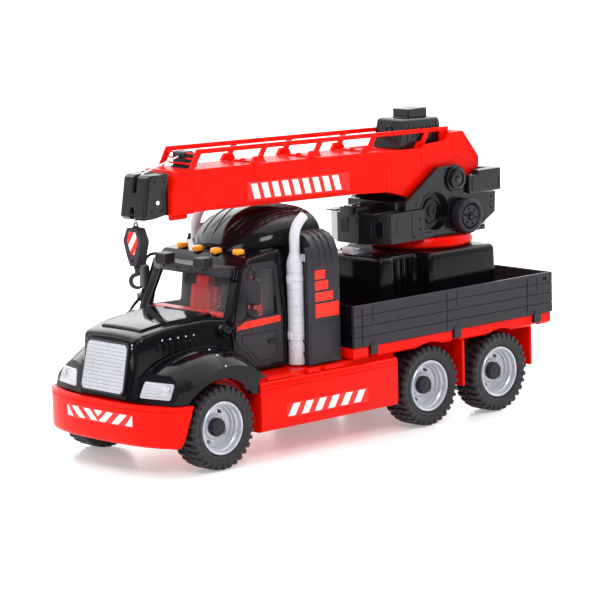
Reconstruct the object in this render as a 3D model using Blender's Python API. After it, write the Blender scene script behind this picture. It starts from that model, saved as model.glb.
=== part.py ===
"""Toy crane truck: cab, drop-side bed, three axles and a slewing, luffing, telescoping crane.

Shapes are written in millimetres in the truck frame: X forward from the front axle, Y to the
truck's left, Z up from the floor. add_piece turns them into metres and moves the whole truck
by FRONT_AXLE_X, so that the origin lies under the middle of its box.
"""

import math

import bmesh
import bpy
from mathutils import Matrix, Vector

MM = 0.001
FRONT_AXLE_X = 199.5
GAP = 0.3

# Wheels
TYRE_R = 42.0
TYRE_WIDTH = 31.0
TRACK_OUTER = 101.7
WHEEL_Y = TRACK_OUTER - TYRE_WIDTH / 2
RIM_R = 26.7
HUB_CAP_R = 9.3
AXLE_R = 2.0
AXLES = {"front": 0.0, "mid": -289.0, "rear": -394.0}
WHEEL_STEPS = 24

# Chassis and bed
SPINE_HALF = 33.0
SPINE_TOP = 83.6
ARCH_R = 49.3
SKIRT_TOP = 83.7
BUMPER_TOP = 69.7
BED_FRONT = -178.0
BED_REAR = -474.0
BED_HALF = 103.4
DECK_Z = (84.0, 95.9)
LOAD_FLOOR = ((-262.0, -186.0), (-94.0, 94.0), (95.0, 96.6))
BOARD_Z = (96.2, 139.4)
BOARD_THICK = 3.3
BOARD_AXIS_Z = 95.6
CLIP_X = (-206.0, -328.0, -450.0)
TAIL_CLIP_Y = (-66.0, 66.0)
CLIP_WIDTH = 10.0
NOTCH_DEPTH = 9.0

# Cab
CAB_HALF = 72.0
CAB_TOP_HALF = 66.0
CAB_BELT_Z = 138.0
CAB_ROOF_Z = 200.0
CAB_SIDE = [(-42, 86), (-42, 138), (-62.5, 189), (-72, 198), (-114, 203.5), (-114, 86)]
CAB_WALL = 3.0
GLASS = 1.2
STACK = (-126.0, 74.0)
STACK_R = 8.5
LIGHTS = [(-79.0, -42.3), (-74.5, -13.9), (-74.5, 13.9), (-79.0, 42.3)]

# Crane
SLEW_X = -380.0
PEDESTAL_TOP = 172.0
RING_TOP = 183.5
RING_R = 55.6
SPIGOT_R = 9.0
PIVOT = (-392.0, 243.0)
WINCH = (-402.0, 203.0)
TILT = 0.027
BOOM_MOUTH = -38.0
BOOM_BOTTOM = 244.5
BOOM_TOP = 287.0
CHANNEL_FLOOR = 285.8
BOOM_HALF = 24.0
BOOM_WALL = 2.8
REAR_HALF = 33.0
CHEEK_Y = (36.0, 41.0)
RAIL_RISE = 19.5
RAIL_FEET = (-33.4, -122.7, -200.4, -278.0, -356.0)
HOOK_X = 18.5
PLUMB_Z = 247.0
LINE_R = 0.9
BLOCK_TOP = 233.5

BODIES = {
    "chassis": (None, (0, 0, 0)),
    "front_wheels": ("chassis", (AXLES["front"], 0, TYRE_R)),
    "mid_wheels": ("chassis", (AXLES["mid"], 0, TYRE_R)),
    "rear_wheels": ("chassis", (AXLES["rear"], 0, TYRE_R)),
    "left_board": ("chassis", ((BED_FRONT + BED_REAR) / 2, BED_HALF - GAP, BOARD_AXIS_Z)),
    "right_board": ("chassis", ((BED_FRONT + BED_REAR) / 2, GAP - BED_HALF, BOARD_AXIS_Z)),
    "tail_board": ("chassis", (BED_REAR + GAP, 0, BOARD_AXIS_Z)),
    "turret": ("chassis", (SLEW_X, 0, RING_TOP)),
    "winch": ("turret", (WINCH[0], 0, WINCH[1])),
    "boom": ("turret", (PIVOT[0], 0, PIVOT[1])),
    "inner_boom": ("boom", (BOOM_MOUTH, 0, (BOOM_BOTTOM + BOOM_TOP) / 2)),
    "plumb_line": ("inner_boom", (HOOK_X, 0, PLUMB_Z)),
    "block": ("plumb_line", (HOOK_X, 0, BLOCK_TOP)),
    "swivel": ("block", (HOOK_X, 0, 195.0)),
}

FINISHES = {
    "red": ((0.78, 0.020, 0.010), 0.25, 0.0),
    "black": ((0.010, 0.010, 0.014), 0.18, 0.0),
    "satin_black": ((0.045, 0.042, 0.050), 0.42, 0.0),
    "rubber": ((0.022, 0.021, 0.023), 0.65, 0.0),
    "silver": ((0.42, 0.43, 0.48), 0.35, 0.55),
    "light_grey": ((0.52, 0.53, 0.58), 0.40, 0.1),
    "orange": ((0.90, 0.32, 0.01), 0.25, 0.0),
    "clear": ((0.90, 0.92, 0.95), 0.05, 0.0),
    "string": ((0.85, 0.83, 0.80), 0.85, 0.0),
}


def clear_scene():
    for obj in list(bpy.data.objects):
        bpy.data.objects.remove(obj, do_unlink=True)


def make_materials():
    made = {}
    for name, (colour, roughness, metallic) in FINISHES.items():
        mat = bpy.data.materials.new(name)
        mat.use_nodes = True
        shader = mat.node_tree.nodes["Principled BSDF"]
        shader.inputs["Base Color"].default_value = (*colour, 1.0)
        shader.inputs["Roughness"].default_value = roughness
        shader.inputs["Metallic"].default_value = metallic
        made[name] = mat
    return made


def make_bodies():
    """One empty on each joint's axis, parented as the truck's joints are."""
    made = {}
    for name, (parent, place) in BODIES.items():
        empty = bpy.data.objects.new(f"axis_{name}", None)
        bpy.context.collection.objects.link(empty)
        if parent is None:
            empty.location = (FRONT_AXLE_X * MM, 0, 0)
        else:
            empty.parent = made[parent]
            empty.location = (Vector(place) - Vector(BODIES[parent][1])) * MM
        made[name] = empty
    return made


def add_piece(name, bm, finish, body="chassis", smooth=math.radians(35)):
    """Turns a bmesh in millimetres into a named object with its origin on its body's axis."""
    pivot = Vector(BODIES[body][1])
    bmesh.ops.recalc_face_normals(bm, faces=bm.faces)
    for vert in bm.verts:
        vert.co = (vert.co - pivot) * MM
    mesh = bpy.data.meshes.new(name)
    bm.to_mesh(mesh)
    bm.free()
    mesh.materials.append(materials[finish])
    mesh.shade_smooth()
    mesh.set_sharp_from_angle(angle=smooth)
    obj = bpy.data.objects.new(name, mesh)
    bpy.context.collection.objects.link(obj)
    obj.parent = axes[body]
    return obj


# ---------------------------------------------------------------- shape helpers


def loft(loops):
    """A closed solid through loops of equally many points, capped at both ends."""
    bm = bmesh.new()
    rings = [[bm.verts.new(point) for point in loop] for loop in loops]
    count = len(rings[0])
    for low, high in zip(rings, rings[1:]):
        for i in range(count):
            j = (i + 1) % count
            bm.faces.new((low[i], low[j], high[j], high[i]))
    bm.faces.new(list(reversed(rings[0])))
    bm.faces.new(rings[-1])
    bmesh.ops.recalc_face_normals(bm, faces=bm.faces)
    return bm


def prism(outline, axis, low, high):
    """An outline in the two other axes, pulled along axis ('x', 'y' or 'z')."""
    place = {
        "x": lambda a, b, t: (t, a, b),
        "y": lambda a, b, t: (a, t, b),
        "z": lambda a, b, t: (a, b, t),
    }[axis]
    return loft([[place(a, b, t) for a, b in outline] for t in (low, high)])


def box(x, y, z):
    return prism([(x[0], y[0]), (x[1], y[0]), (x[1], y[1]), (x[0], y[1])], "z", *z)


def turned(profile, centre, axis="y", steps=WHEEL_STEPS, ring=False):
    """Turns (radius, along) points about an axis through centre; ring closes the profile."""
    bm = bmesh.new()
    place = {
        "x": lambda r, t, c, s: (t, r * c, r * s),
        "y": lambda r, t, c, s: (r * c, t, r * s),
        "z": lambda r, t, c, s: (r * c, r * s, t),
    }[axis]
    rows = []
    for radius, along in profile:
        if radius == 0:
            rows.append([bm.verts.new(Vector(place(0, along, 0, 0)) + Vector(centre))])
            continue
        row = []
        for k in range(steps):
            turn = 2 * math.pi * k / steps
            point = place(radius, along, math.cos(turn), math.sin(turn))
            row.append(bm.verts.new(Vector(point) + Vector(centre)))
        rows.append(row)
    pairs = list(zip(rows, rows[1:]))
    if ring:
        pairs.append((rows[-1], rows[0]))
    for low, high in pairs:
        for k in range(steps):
            j = (k + 1) % steps
            corners = [low[k % len(low)], low[j % len(low)], high[j % len(high)], high[k % len(high)]]
            bm.faces.new(list(dict.fromkeys(corners)))
    bmesh.ops.recalc_face_normals(bm, faces=bm.faces)
    return bm


def rod(start, end, radius, steps=16):
    return tube([start, end], [radius, radius], steps)


def tube(path, radii, steps=12):
    """A round bar along a path, with a radius at each point."""
    points = [Vector(p) for p in path]
    loops = []
    side = None
    for i, point in enumerate(points):
        ahead = points[min(i + 1, len(points) - 1)] - points[max(i - 1, 0)]
        ahead.normalize()
        if side is None:
            side = ahead.orthogonal().normalized()
        side = (side - ahead * side.dot(ahead)).normalized()
        other = ahead.cross(side)
        loop = []
        for k in range(steps):
            turn = 2 * math.pi * k / steps
            loop.append(point + (side * math.cos(turn) + other * math.sin(turn)) * radii[i])
        loops.append(loop)
    return loft(loops)


def boolean(bm, other, operation):
    """Applies an exact Boolean of two bmeshes and frees both."""
    objects = []
    for part in (bm, other):
        bmesh.ops.recalc_face_normals(part, faces=part.faces)
        mesh = bpy.data.meshes.new("working")
        part.to_mesh(mesh)
        part.free()
        obj = bpy.data.objects.new("working", mesh)
        bpy.context.collection.objects.link(obj)
        objects.append(obj)
    modifier = objects[0].modifiers.new("cut", "BOOLEAN")
    modifier.operation = operation
    modifier.solver = "EXACT"
    modifier.object = objects[1]
    evaluated = objects[0].evaluated_get(bpy.context.evaluated_depsgraph_get())
    result = bmesh.new()
    result.from_mesh(evaluated.to_mesh())
    evaluated.to_mesh_clear()
    for obj in objects:
        mesh = obj.data
        bpy.data.objects.remove(obj)
        bpy.data.meshes.remove(mesh)
    bmesh.ops.remove_doubles(result, verts=result.verts, dist=0.002)
    bmesh.ops.dissolve_limit(
        result, angle_limit=math.radians(0.3), verts=result.verts, edges=result.edges
    )
    return result


def union(first, *others):
    for other in others:
        first = boolean(first, other, "UNION")
    return first


def minus(first, *cutters):
    for cutter in cutters:
        first = boolean(first, cutter, "DIFFERENCE")
    return first


def common(first, *others):
    for other in others:
        first = boolean(first, other, "INTERSECT")
    return first


def mirrored(bm):
    """A copy on the truck's other side."""
    copy = bm.copy()
    bmesh.ops.scale(copy, vec=(1, -1, 1), verts=copy.verts)
    bmesh.ops.reverse_faces(copy, faces=copy.faces)
    return copy


def bevel(bm, width, chosen, segments=2):
    """Rounds the edges whose two end points chosen accepts."""
    edges = [e for e in bm.edges if chosen(e.verts[0].co, e.verts[1].co)]
    bmesh.ops.bevel(
        bm,
        geom=edges,
        offset=width,
        offset_type="OFFSET",
        segments=segments,
        profile=0.5,
        affect="EDGES",
        clamp_overlap=True,
    )
    return bm


def upright(a, b):
    return abs(a.x - b.x) < 0.01 and abs(a.y - b.y) < 0.01


def inset(outline, amount):
    """Moves each side of a convex outline inwards; a negative amount grows it."""
    area = sum(a[0] * b[1] - b[0] * a[1] for a, b in zip(outline, outline[1:] + outline[:1]))
    turn = 1 if area > 0 else -1
    sides = []
    for a, b in zip(outline, outline[1:] + outline[:1]):
        along = Vector((b[0] - a[0], b[1] - a[1])).normalized()
        inward = Vector((-along.y, along.x)) * turn
        sides.append((Vector(a) + inward * amount, along))
    moved = []
    for (p, u), (q, v) in zip(sides[-1:] + sides[:-1], sides):
        t = (q - p).cross(v) / u.cross(v)
        moved.append(tuple(p + u * t))
    return moved


def arc(centre, radius, start, end, steps):
    """Points on an arc, from start to end in degrees."""
    points = []
    for k in range(steps + 1):
        turn = math.radians(start + (end - start) * k / steps)
        points.append((centre[0] + radius * math.cos(turn), centre[1] + radius * math.sin(turn)))
    return points


def both_sides(y_low, y_high):
    return ((y_low, y_high), (-y_high, -y_low))


# ---------------------------------------------------------------- wheels


def tyre(x, y):
    half = TYRE_WIDTH / 2
    profile = [
        (RIM_R + GAP, 2.5 - half), (RIM_R + GAP, half - 2.5), (33, half), (39, half),
        (TYRE_R, half - 3.5), (TYRE_R, 3.5 - half), (39, -half), (33, -half),
    ]
    return turned(profile, (x, y, TYRE_R), ring=True)


def rim(x, y):
    """A deep dish open to the outside, its disc bored for the axle."""
    out = 1 if y > 0 else -1
    bore = AXLE_R + GAP
    profile = [
        (RIM_R, -12.5), (RIM_R, 13.5), (24.9, 13.5), (22.5, 8), (21.5, -1),
        (12, -1), (11, 1.5), (bore, 1.5), (bore, -6), (21, -6), (24, -12.5),
    ]
    return turned([(r, t * out) for r, t in profile], (x, y, TYRE_R), ring=True)


def axle(x):
    """A steel rod with a push-on cap at each end."""
    inner = WHEEL_Y + 1.9
    outer = inner + 6.2
    half = [(AXLE_R, inner), (HUB_CAP_R, inner), (HUB_CAP_R, outer - 1.7), (8.3, outer), (0, outer)]
    return turned([(r, -t) for r, t in reversed(half)] + half, (x, 0, TYRE_R), steps=20)


def wheels():
    for name, x in AXLES.items():
        body = f"{name}_wheels"
        add_piece(f"{name}_axle", axle(x), "satin_black", body)
        for side, sign in (("left", 1), ("right", -1)):
            add_piece(f"{name}_{side}_rim", rim(x, WHEEL_Y * sign), "silver", body)
            add_piece(f"{name}_{side}_tyre", tyre(x, WHEEL_Y * sign), "rubber", body)


# ---------------------------------------------------------------- chassis and bed


def chassis_frame():
    frame = box((-468, 22), (-SPINE_HALF, SPINE_HALF), (52, SPINE_TOP))
    frame = union(frame, box((20, 69.2), (-28, 28), (52, 69.5)))
    for x in AXLES.values():
        frame = union(frame, box((x - 9, x + 9), (-64, 64), (35, 58)))
    frame = union(
        frame,
        box((-342.5, -339.5), (-99, 99), (34.5, SPINE_TOP - 0.4)),
        box((-448, -445), (-97, 97), (42, SPINE_TOP - 0.4)),
    )
    liner = arc((0, TYRE_R), 49.0, 4, 176, 16) + arc((0, TYRE_R), 46.5, 176, 4, 16)
    for side in both_sides(SPINE_HALF - 3, 87.5):
        frame = union(frame, prism(liner, "y", *side))
    for x in AXLES.values():
        frame = minus(frame, rod((x, -70, TYRE_R), (x, 70, TYRE_R), AXLE_R + 0.6))
    return frame


def bumper():
    """Wraps round the front corners; its ends lean forward towards the bottom."""
    loops = []
    for z, chamfer in ((28, 3.0), (32.5, 0.0), (BUMPER_TOP, 0.0)):
        end = 51.8 - 0.287 * (z - 20)
        front = [(75, 0), (74.2, 34), (70.5, 62), (63.5, 83), (54, 96)]
        half = [(x - chamfer, y * (1 - chamfer / 100)) for x, y in front]
        half += [(end, 96 - chamfer * 0.9 + (54 - end) * 0.36), (end, 88.5 + (50.5 - end) * 0.35)]
        half += [(50.5, 88.5), (58, 77.5), (65, 58), (69.5, 32), (70, 0)]
        around = half + [(x, -y) for x, y in reversed(half[1:-1])]
        loops.append([(x, y, z) for x, y in around])
    return loft(loops)


def skirt():
    """A left side cover between the front and middle wheels."""
    outline = [
        (36, 30), (98.5, 29), (102, 33), (102, 74), (100.6, 78.5), (96, 79.5), (94.5, SKIRT_TOP),
        (36, SKIRT_TOP),
    ]
    cover = prism(outline, "x", -241, -50.3)
    return bevel(
        cover, 6.0, lambda a, b: a.y > 97 and b.y > 97 and abs(a.x - b.x) < 0.1 and a.z + b.z > 70, 2
    )


def bed_frame():
    """The deck, arched over the rear wheels, with a raised load floor ahead of the pedestal."""
    deck = box((BED_REAR + 1.5, BED_FRONT), (-102, 102), DECK_Z)
    bevel(deck, 2.5, lambda a, b: a.z < 85 and b.z < 85, 1)
    for x in (AXLES["mid"], AXLES["rear"]):
        for side in both_sides(66, 110):
            arch = prism(arc((x, TYRE_R), 46.8, 0, 345, 23), "y", *side)
            deck = minus(deck, arch)
    notch = CLIP_WIDTH / 2 + 1.2
    for x in CLIP_X:
        for side in both_sides(102 - NOTCH_DEPTH, 110):
            deck = minus(deck, box((x - notch, x + notch), side, (80, 99)))
    for y in TAIL_CLIP_Y:
        cut = box((BED_REAR - 4, BED_REAR + NOTCH_DEPTH + 1.5), (y - notch, y + notch), (80, 99))
        deck = minus(deck, cut)
    return union(deck, box(*LOAD_FLOOR))


def side_board():
    """The left board with three clips that hook round the deck's edge."""
    board = box((BED_REAR, BED_FRONT), (BED_HALF - BOARD_THICK, BED_HALF), BOARD_Z)
    for x in CLIP_X:
        half = CLIP_WIDTH / 2
        clip = [(99.2, 87.5), (104.0, 87.5), (104.6, 90), (104.6, 97.6), (99.2, 99)]
        board = union(board, prism(clip, "x", x - half, x + half))
    return board


def tail_board():
    inner = BED_HALF - BOARD_THICK - 0.4
    board = box((BED_REAR + 0.1, BED_REAR + 3.4), (-inner, inner), BOARD_Z)
    for y in TAIL_CLIP_Y:
        half = CLIP_WIDTH / 2
        x = BED_REAR
        clip = [(x + 4.0, 87.5), (x + 0.2, 87.5), (x, 90), (x, 97.6), (x + 4.0, 99)]
        board = union(board, prism(clip, "y", y - half, y + half))
    return board


def bed():
    add_piece("bed_frame", bed_frame(), "red")
    panel = box((BED_FRONT - 4.5, BED_FRONT - 1.3), (-99.6, 99.6), BOARD_Z)
    add_piece("bed_front_panel", panel, "black")
    board = side_board()
    add_piece("right_side_board", mirrored(board), "satin_black", "right_board")
    add_piece("left_side_board", board, "satin_black", "left_board")
    add_piece("tailgate", tail_board(), "satin_black", "tail_board")


# ---------------------------------------------------------------- hood and cab


def hood_middle():
    """The engine cover, lofted from the grille back to the windshield, widening to the cab."""
    sections = [
        ([67.7, 61.8, 57.1, 55.8, 55.4], [(34.5, 72), (34, 100), (33.5, 122), (31, 128), (0, 129.5)]),
        ([52, 52, 51, 50, 49.5], [(45, 72), (44.5, 100), (43, 127.5), (37, 132.5), (0, 134)]),
        ([20] * 5, [(52, 86), (51.5, 110), (48, 131.5), (44, 138.2), (0, 139.2)]),
        ([-18] * 5, [(64, 86), (60, 115), (53, 134), (48, 141), (0, 142)]),
        ([-41.6] * 5, [(71, 86), (70.5, 116), (64, 134.5), (57, 141), (0, 142.5)]),
    ]
    loops = []
    for xs, half in sections:
        left = [(x, y, z) for x, (y, z) in zip(xs, half)]
        right = [(x, -y, z) for x, y, z in reversed(left[:-1])]
        loops.append(left + right)
    return loft(loops)


def fender():
    """The left front fender: its crest runs beside the hood and its back rolls outward from it."""
    sections = [
        (-61, 76, 88, 98.5, 84.6), (-52, 75, 99, 99.5, 90), (-40, 74, 109.5, 100, 97),
        (-25, 72, 116, 100.3, 101), (-10, 67, 117.5, 100.5, 102), (5, 61, 116.5, 100.5, 100),
        (18, 56, 113.5, 100.3, 95), (30, 52, 109.5, 98.5, 89), (41, 50, 104.5, 95, 84),
        (51, 49, 99, 90, 81), (58, 48, 94, 86, 77), (65, 47, 86, 80, 73),
    ]
    loops = []
    for x, crest_y, crest_z, outer_y, outer_z in sections:
        loop = [(x, 36, 70), (x, 36, crest_z - 2), (x, crest_y - 3, crest_z - 0.8)]
        for t in (0, 0.3, 0.55, 0.75, 0.9, 1):
            y = crest_y + (outer_y - crest_y) * t
            loop.append((x, y, crest_z - (crest_z - outer_z) * t ** 2.2))
        loops.append(loop + [(x, outer_y, 70)])
    shape = loft(loops)
    cuts = []
    for y in (20, 48, 66, 84, 120):
        cuts.append([(lamp_plane(y, 50), y, 50), (lamp_plane(y, 130), y, 130), (120, y, 130), (120, y, 50)])
    ahead = loft(cuts)
    return minus(
        shape,
        ahead,
        box((-90, -41.6), (0, CAB_HALF + 0.4), (60, 130)),
        box((-90, -50), (0, 110), (60, 84.1)),
    )


def lamp_plane(y, z):
    """X of the fender's front, which leans back more towards its outer side."""
    lean = 0.22 + 0.0072 * min(max(y - 48, 0), 36)
    return 61.0 - 0.222 * (y - 48) - lean * (z - 75)


def lamp_corners(grow=0.0):
    """The left headlight's back and front loops; grow widens them for its recess."""
    front = [(lamp_plane(y, z), y, z) for y, z in ((48, 74.5), (84, 75), (83, 90), (51.5, 91))]
    centre = sum((Vector(p) for p in front), Vector()) / 4
    push = Vector((0.963, 0.214, 0.162))
    loops = []
    for depth in (-4.0 - grow, 1.2 + grow * 2):
        loop = []
        for point in front:
            spread = (Vector(point) - centre) * (1 + grow / 12)
            loop.append(centre + spread + push * depth)
        loops.append(loop)
    return loops


def hood():
    shape = hood_middle()
    left = fender()
    shape = union(shape, mirrored(left), left)
    for side in both_sides(SPINE_HALF - 3.4, 115):
        arch = arc((0, TYRE_R), ARCH_R, 0, 180, 20) + [(-ARCH_R, 20), (ARCH_R, 20)]
        shape = minus(shape, prism(arch, "y", *side))
    recess = loft(lamp_corners(GAP))
    return minus(shape, mirrored(recess), recess)


def taper(bm):
    """Leans the cab's sides in above its belt line."""
    lean = (1 - CAB_TOP_HALF / CAB_HALF) / (CAB_ROOF_Z - CAB_BELT_Z)
    for vert in bm.verts:
        vert.co.y *= 1 - max(0.0, vert.co.z - CAB_BELT_Z) * lean
    return bm


def cab_prism(outline, half):
    """A cab-shaped solid with a row of points at the belt line, where its sides start to lean."""
    shape = prism(outline, "y", -half, half)
    bmesh.ops.bisect_plane(
        shape,
        geom=shape.verts[:] + shape.edges[:] + shape.faces[:],
        plane_co=(0, 0, CAB_BELT_Z),
        plane_no=(0, 0, 1),
    )
    return taper(shape)


def cab_shell():
    shell = prism(CAB_SIDE, "y", -CAB_HALF, CAB_HALF)
    bevel(shell, 6.0, lambda a, b: a.z > 100 and abs(a.y - b.y) < 0.1 and a.x + b.x > -200, 2)
    bmesh.ops.bisect_plane(
        shell,
        geom=shell.verts[:] + shell.edges[:] + shell.faces[:],
        plane_co=(0, 0, CAB_BELT_Z),
        plane_no=(0, 0, 1),
    )
    taper(shell)
    cavity = inset(CAB_SIDE, CAB_WALL)
    cavity = [(x, z if z > 100 else 80) for x, z in cavity]
    shell = minus(shell, cab_prism(cavity, CAB_HALF - CAB_WALL))
    windshield = [(-57, 140.5), (57, 140.5), (51.5, 178.8), (-51.5, 178.8)]
    door_window = [(-61, 140), (-69.4, 186), (-103.5, 185), (-102, 139)]
    shell = minus(shell, prism(windshield, "x", -76, -30), prism(door_window, "y", -80, 80))
    for x, y in LIGHTS:
        shell = minus(shell, rod((x, y, 185), (x, y, 210), 3.4, 12))
    return shell


def cab_glazing():
    """Windshield and door windows moulded in one clear piece, just inside the shell."""
    glass = cab_prism(inset(CAB_SIDE, CAB_WALL + GAP), CAB_HALF - CAB_WALL - GAP)
    glass = common(glass, box((-106.5, -30), (-80, 80), (134, 188.5)))
    hollow = cab_prism(inset(CAB_SIDE, CAB_WALL + GAP + GLASS), CAB_HALF - CAB_WALL - GAP - GLASS)
    return minus(glass, hollow)


def interior():
    """Floor, dashboard and two seats in one red moulding."""
    tub = box((-110, -49.6), (-63, 63), (86.5, 99))
    dash = prism([(-49.8, 95), (-49.8, 138), (-54, 141), (-63, 136), (-66, 95)], "y", -60, 60)
    tub = union(tub, dash)
    for y in (-31, 31):
        seat = [(-76, 95), (-73, 112), (-76, 118), (-92, 117), (-97, 158), (-103, 158), (-101, 95)]
        rest = [(-96, 150), (-94.5, 163), (-97, 175), (-102, 175), (-103, 150)]
        tub = union(tub, prism(seat, "y", y - 19, y + 19), prism(rest, "y", y - 9, y + 9))
    return tub


def steering_wheel():
    centre = Vector((-70, 31, 139))
    lean = Matrix.Rotation(math.radians(-62), 4, "Y")
    ring = []
    for k in range(8):
        turn = 2 * math.pi * k / 8
        ring.append((10.0 + 1.4 * math.cos(turn), 1.4 * math.sin(turn)))
    wheel = turned(ring, (0, 0, 0), "z", 20, ring=True)
    wheel = union(wheel, rod((0, -9.6, 0), (0, 9.6, 0), 1.2, 8), rod((0, 0, -5.6), (0, 0, 1.4), 2.6, 10))
    bmesh.ops.transform(wheel, matrix=Matrix.Translation(centre) @ lean, verts=wheel.verts)
    return wheel


def sleeper():
    """The wide box behind the cab, its side panels reaching forward past the stacks."""
    half = [(91, 85.3), (91, 186), (89.2, 198), (85, 207.5), (78, 214), (67, 217)]
    outline = half + [(-y, z) for y, z in reversed(half)]
    body = prism(outline, "x", -171, -136)
    lip = [(91, 85.3), (91, 186), (89.2, 198), (86.5, 204), (86.5, 85.3)]
    for sign in (1, -1):
        body = union(body, prism([(y * sign, z) for y, z in lip], "x", -140, -127))
    return body


def roof_fairing():
    """A bulbous cap from the roof up to the sleeper's rear, cut to sit on both."""
    sections = [
        (-83, 20, 206), (-88, 31, 211.5), (-95, 41, 217.5), (-106, 51, 224.5), (-122, 59.5, 231.5),
        (-144, 65.5, 236.3), (-171, 67, 238),
    ]
    loops = []
    for x, half, top in sections:
        loop = []
        for k in range(15):
            turn = math.pi * k / 14
            across = math.copysign(abs(math.cos(turn)) ** 0.62, math.cos(turn))
            loop.append((x, half * across, 194 + (top - 194) * math.sin(turn) ** 0.62))
        loops.append(loop)
    cap = loft(loops)
    cap = minus(cap, prism(inset(CAB_SIDE, -GAP), "y", -90, 90))
    return minus(
        cap,
        box((-175, -135.6), (-80, 80), (180, 217 + GAP)),
        box((-136, -113), (-80, 80), (180, 204.5)),
    )


def sun_visor():
    """A curved bar over the windshield with two square spot lamps."""
    side = [(-66, 180), (-47, 180), (-42.5, 183), (-42.5, 190), (-61, 190.6)]
    bar = prism(side, "y", -58, 58)
    plan = [(-70, -58), (-53, -58), (-42.3, -34), (-42.3, 34), (-53, 58), (-70, 58)]
    bar = common(bar, prism(plan, "z", 170, 200))
    for sign in (1, -1):
        y = sorted((20.8 * sign, 36.2 * sign))
        lamp = box((-50, -37.5), y, (187.5, 199))
        bevel(lamp, 1.5, lambda a, b: min(a.x, b.x) > -40, 1)
        bar = union(bar, lamp)
    return minus(bar, prism(inset(CAB_SIDE, -0.4), "y", -90, 90))


def roof_lights():
    """Four lenses on one strip clipped in under the roof, their stems through its holes."""
    strip = box((-83, -72.6), (-47, 47), (190.8, 193.6))
    for x, y in LIGHTS:
        base = 199.2 if x > -76 else 199.8
        profile = [(0, 192), (2.9, 192), (2.9, base), (6.2, base), (6.2, base + 2.2), (5.4, base + 2.6)]
        profile += [(4.9, base + 4.6), (2.6, base + 6), (0, base + 6.3)]
        strip = union(strip, turned(profile, (x, y, 0), "z", 16))
    return strip


def grille():
    back = [(57.0, -30.7, 124), (66.9, -32, 77.4), (66.9, 32, 77.4), (57.0, 30.7, 124)]
    front = [(x + 3.1, y, z) for x, y, z in back]
    return loft([back, front])


def mirror():
    """The left mirrors on their arm, swung a little outwards."""
    arm = tube(
        [(-33, 73, 131.5), (-37, 78, 134.5), (-46, 82, 139.5), (-56, 82, 148), (-62, 82, 162), (-62.5, 82, 182),
         (-66, 77.5, 189.5), (-69, 67.6, 191.5)],
        [1.7] * 8, 8,
    )
    ball = [(0, 62.6), (2.6, 62.6), (2.6, 71), (4.4, 71), (4.8, 73), (4.2, 75.8), (0, 76.5)]
    ball = turned(ball, (-33, 0, 131.5), "y", 12)
    plates = (
        box((-64, -58), (73.5, 90.5), (154, 180)),
        box((-59, -54), (75.5, 89), (141.5, 150.5)),
    )
    for plate in plates:
        bmesh.ops.rotate(
            plate, cent=(-61, 82, 0), matrix=Matrix.Rotation(math.radians(19), 3, "Z"), verts=plate.verts
        )
    return union(arm, ball, *plates)


def stack():
    x, y = STACK
    path = [(x, y, 84.9), (x, y, 187), (x, y, 199), (x, y, 214), (x - 2, y, 222), (x - 7, y, 229),
            (x - 13.5, y, 234)]
    return tube(path, [STACK_R, STACK_R, 5.2, 5.2, 5.2, 5.1, 5.0], 16)


def cab():
    add_piece("hood", hood(), "black")
    add_piece("cab_shell", cab_shell(), "black")
    add_piece("cab_glazing", cab_glazing(), "clear")
    add_piece("interior", interior(), "red")
    add_piece("steering_wheel", steering_wheel(), "satin_black")
    add_piece("sleeper", sleeper(), "satin_black")
    add_piece("roof_fairing", roof_fairing(), "black")
    add_piece("sun_visor", sun_visor(), "black")
    add_piece("roof_lights", roof_lights(), "orange")
    add_piece("grille", grille(), "silver")
    for name, make, finish in (
        ("headlight", lambda: loft(lamp_corners()), "silver"),
        ("mirror", mirror, "satin_black"),
        ("exhaust_stack", stack, "light_grey"),
    ):
        left = make()
        add_piece(f"right_{name}", mirrored(left), finish)
        add_piece(f"left_{name}", left, finish)


# ---------------------------------------------------------------- crane


def boom_z(x, level):
    """The height of a line along the boom, which rises forward at TILT."""
    return level + (x - BOOM_MOUTH) * TILT


def pedestal():
    half = [(-268, 0), (-268, 52), (-290, 54), (-292, 45), (-326, 45), (-328, 66), (-430, 66), (-430, 0)]
    outline = half[:-1] + [(x, -y) for x, y in reversed(half[1:-1])]
    block = prism(outline[1:], "z", BOARD_Z[0], PEDESTAL_TOP)
    bevel(block, 7.0, lambda a, b: upright(a, b) and abs(a.y) > 50, 2)
    return minus(block, rod((SLEW_X, 0, 158), (SLEW_X, 0, 180), SPIGOT_R + GAP, 24))


def turntable_ring():
    bore = SPIGOT_R + GAP
    low = PEDESTAL_TOP + GAP
    profile = [(bore, low), (53, low), (RING_R, low + 2.2), (RING_R, 179), (53.5, RING_TOP), (bore, RING_TOP)]
    return turned(profile, (SLEW_X, 0, 0), "z", 36, ring=True)


def turret_base():
    """A plate on the ring, a chamfered block in front and the spigot that it turns on."""
    floor = RING_TOP + 0.8
    plate = [(-330, -42), (-330, 42), (-436, 42), (-450, 30), (-450, -30), (-436, -42)]
    base = prism(plate, "z", floor, 190)
    nose = [(-273, -16), (-273, 16), (-292, 45), (-342, 45), (-342, -45), (-292, -45)]
    tongue = box((-312, -272), (-14, 14), (214, 222))
    bevel(tongue, 5.0, lambda a, b: upright(a, b) and a.x > -280, 2)
    step = box((-345, -308), (-35.5, 35.5), (214, 225.5))
    spigot = rod((SLEW_X, 0, 162), (SLEW_X, 0, 188), SPIGOT_R, 24)
    return union(base, prism(nose, "z", floor, 216), tongue, step, spigot)


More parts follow.
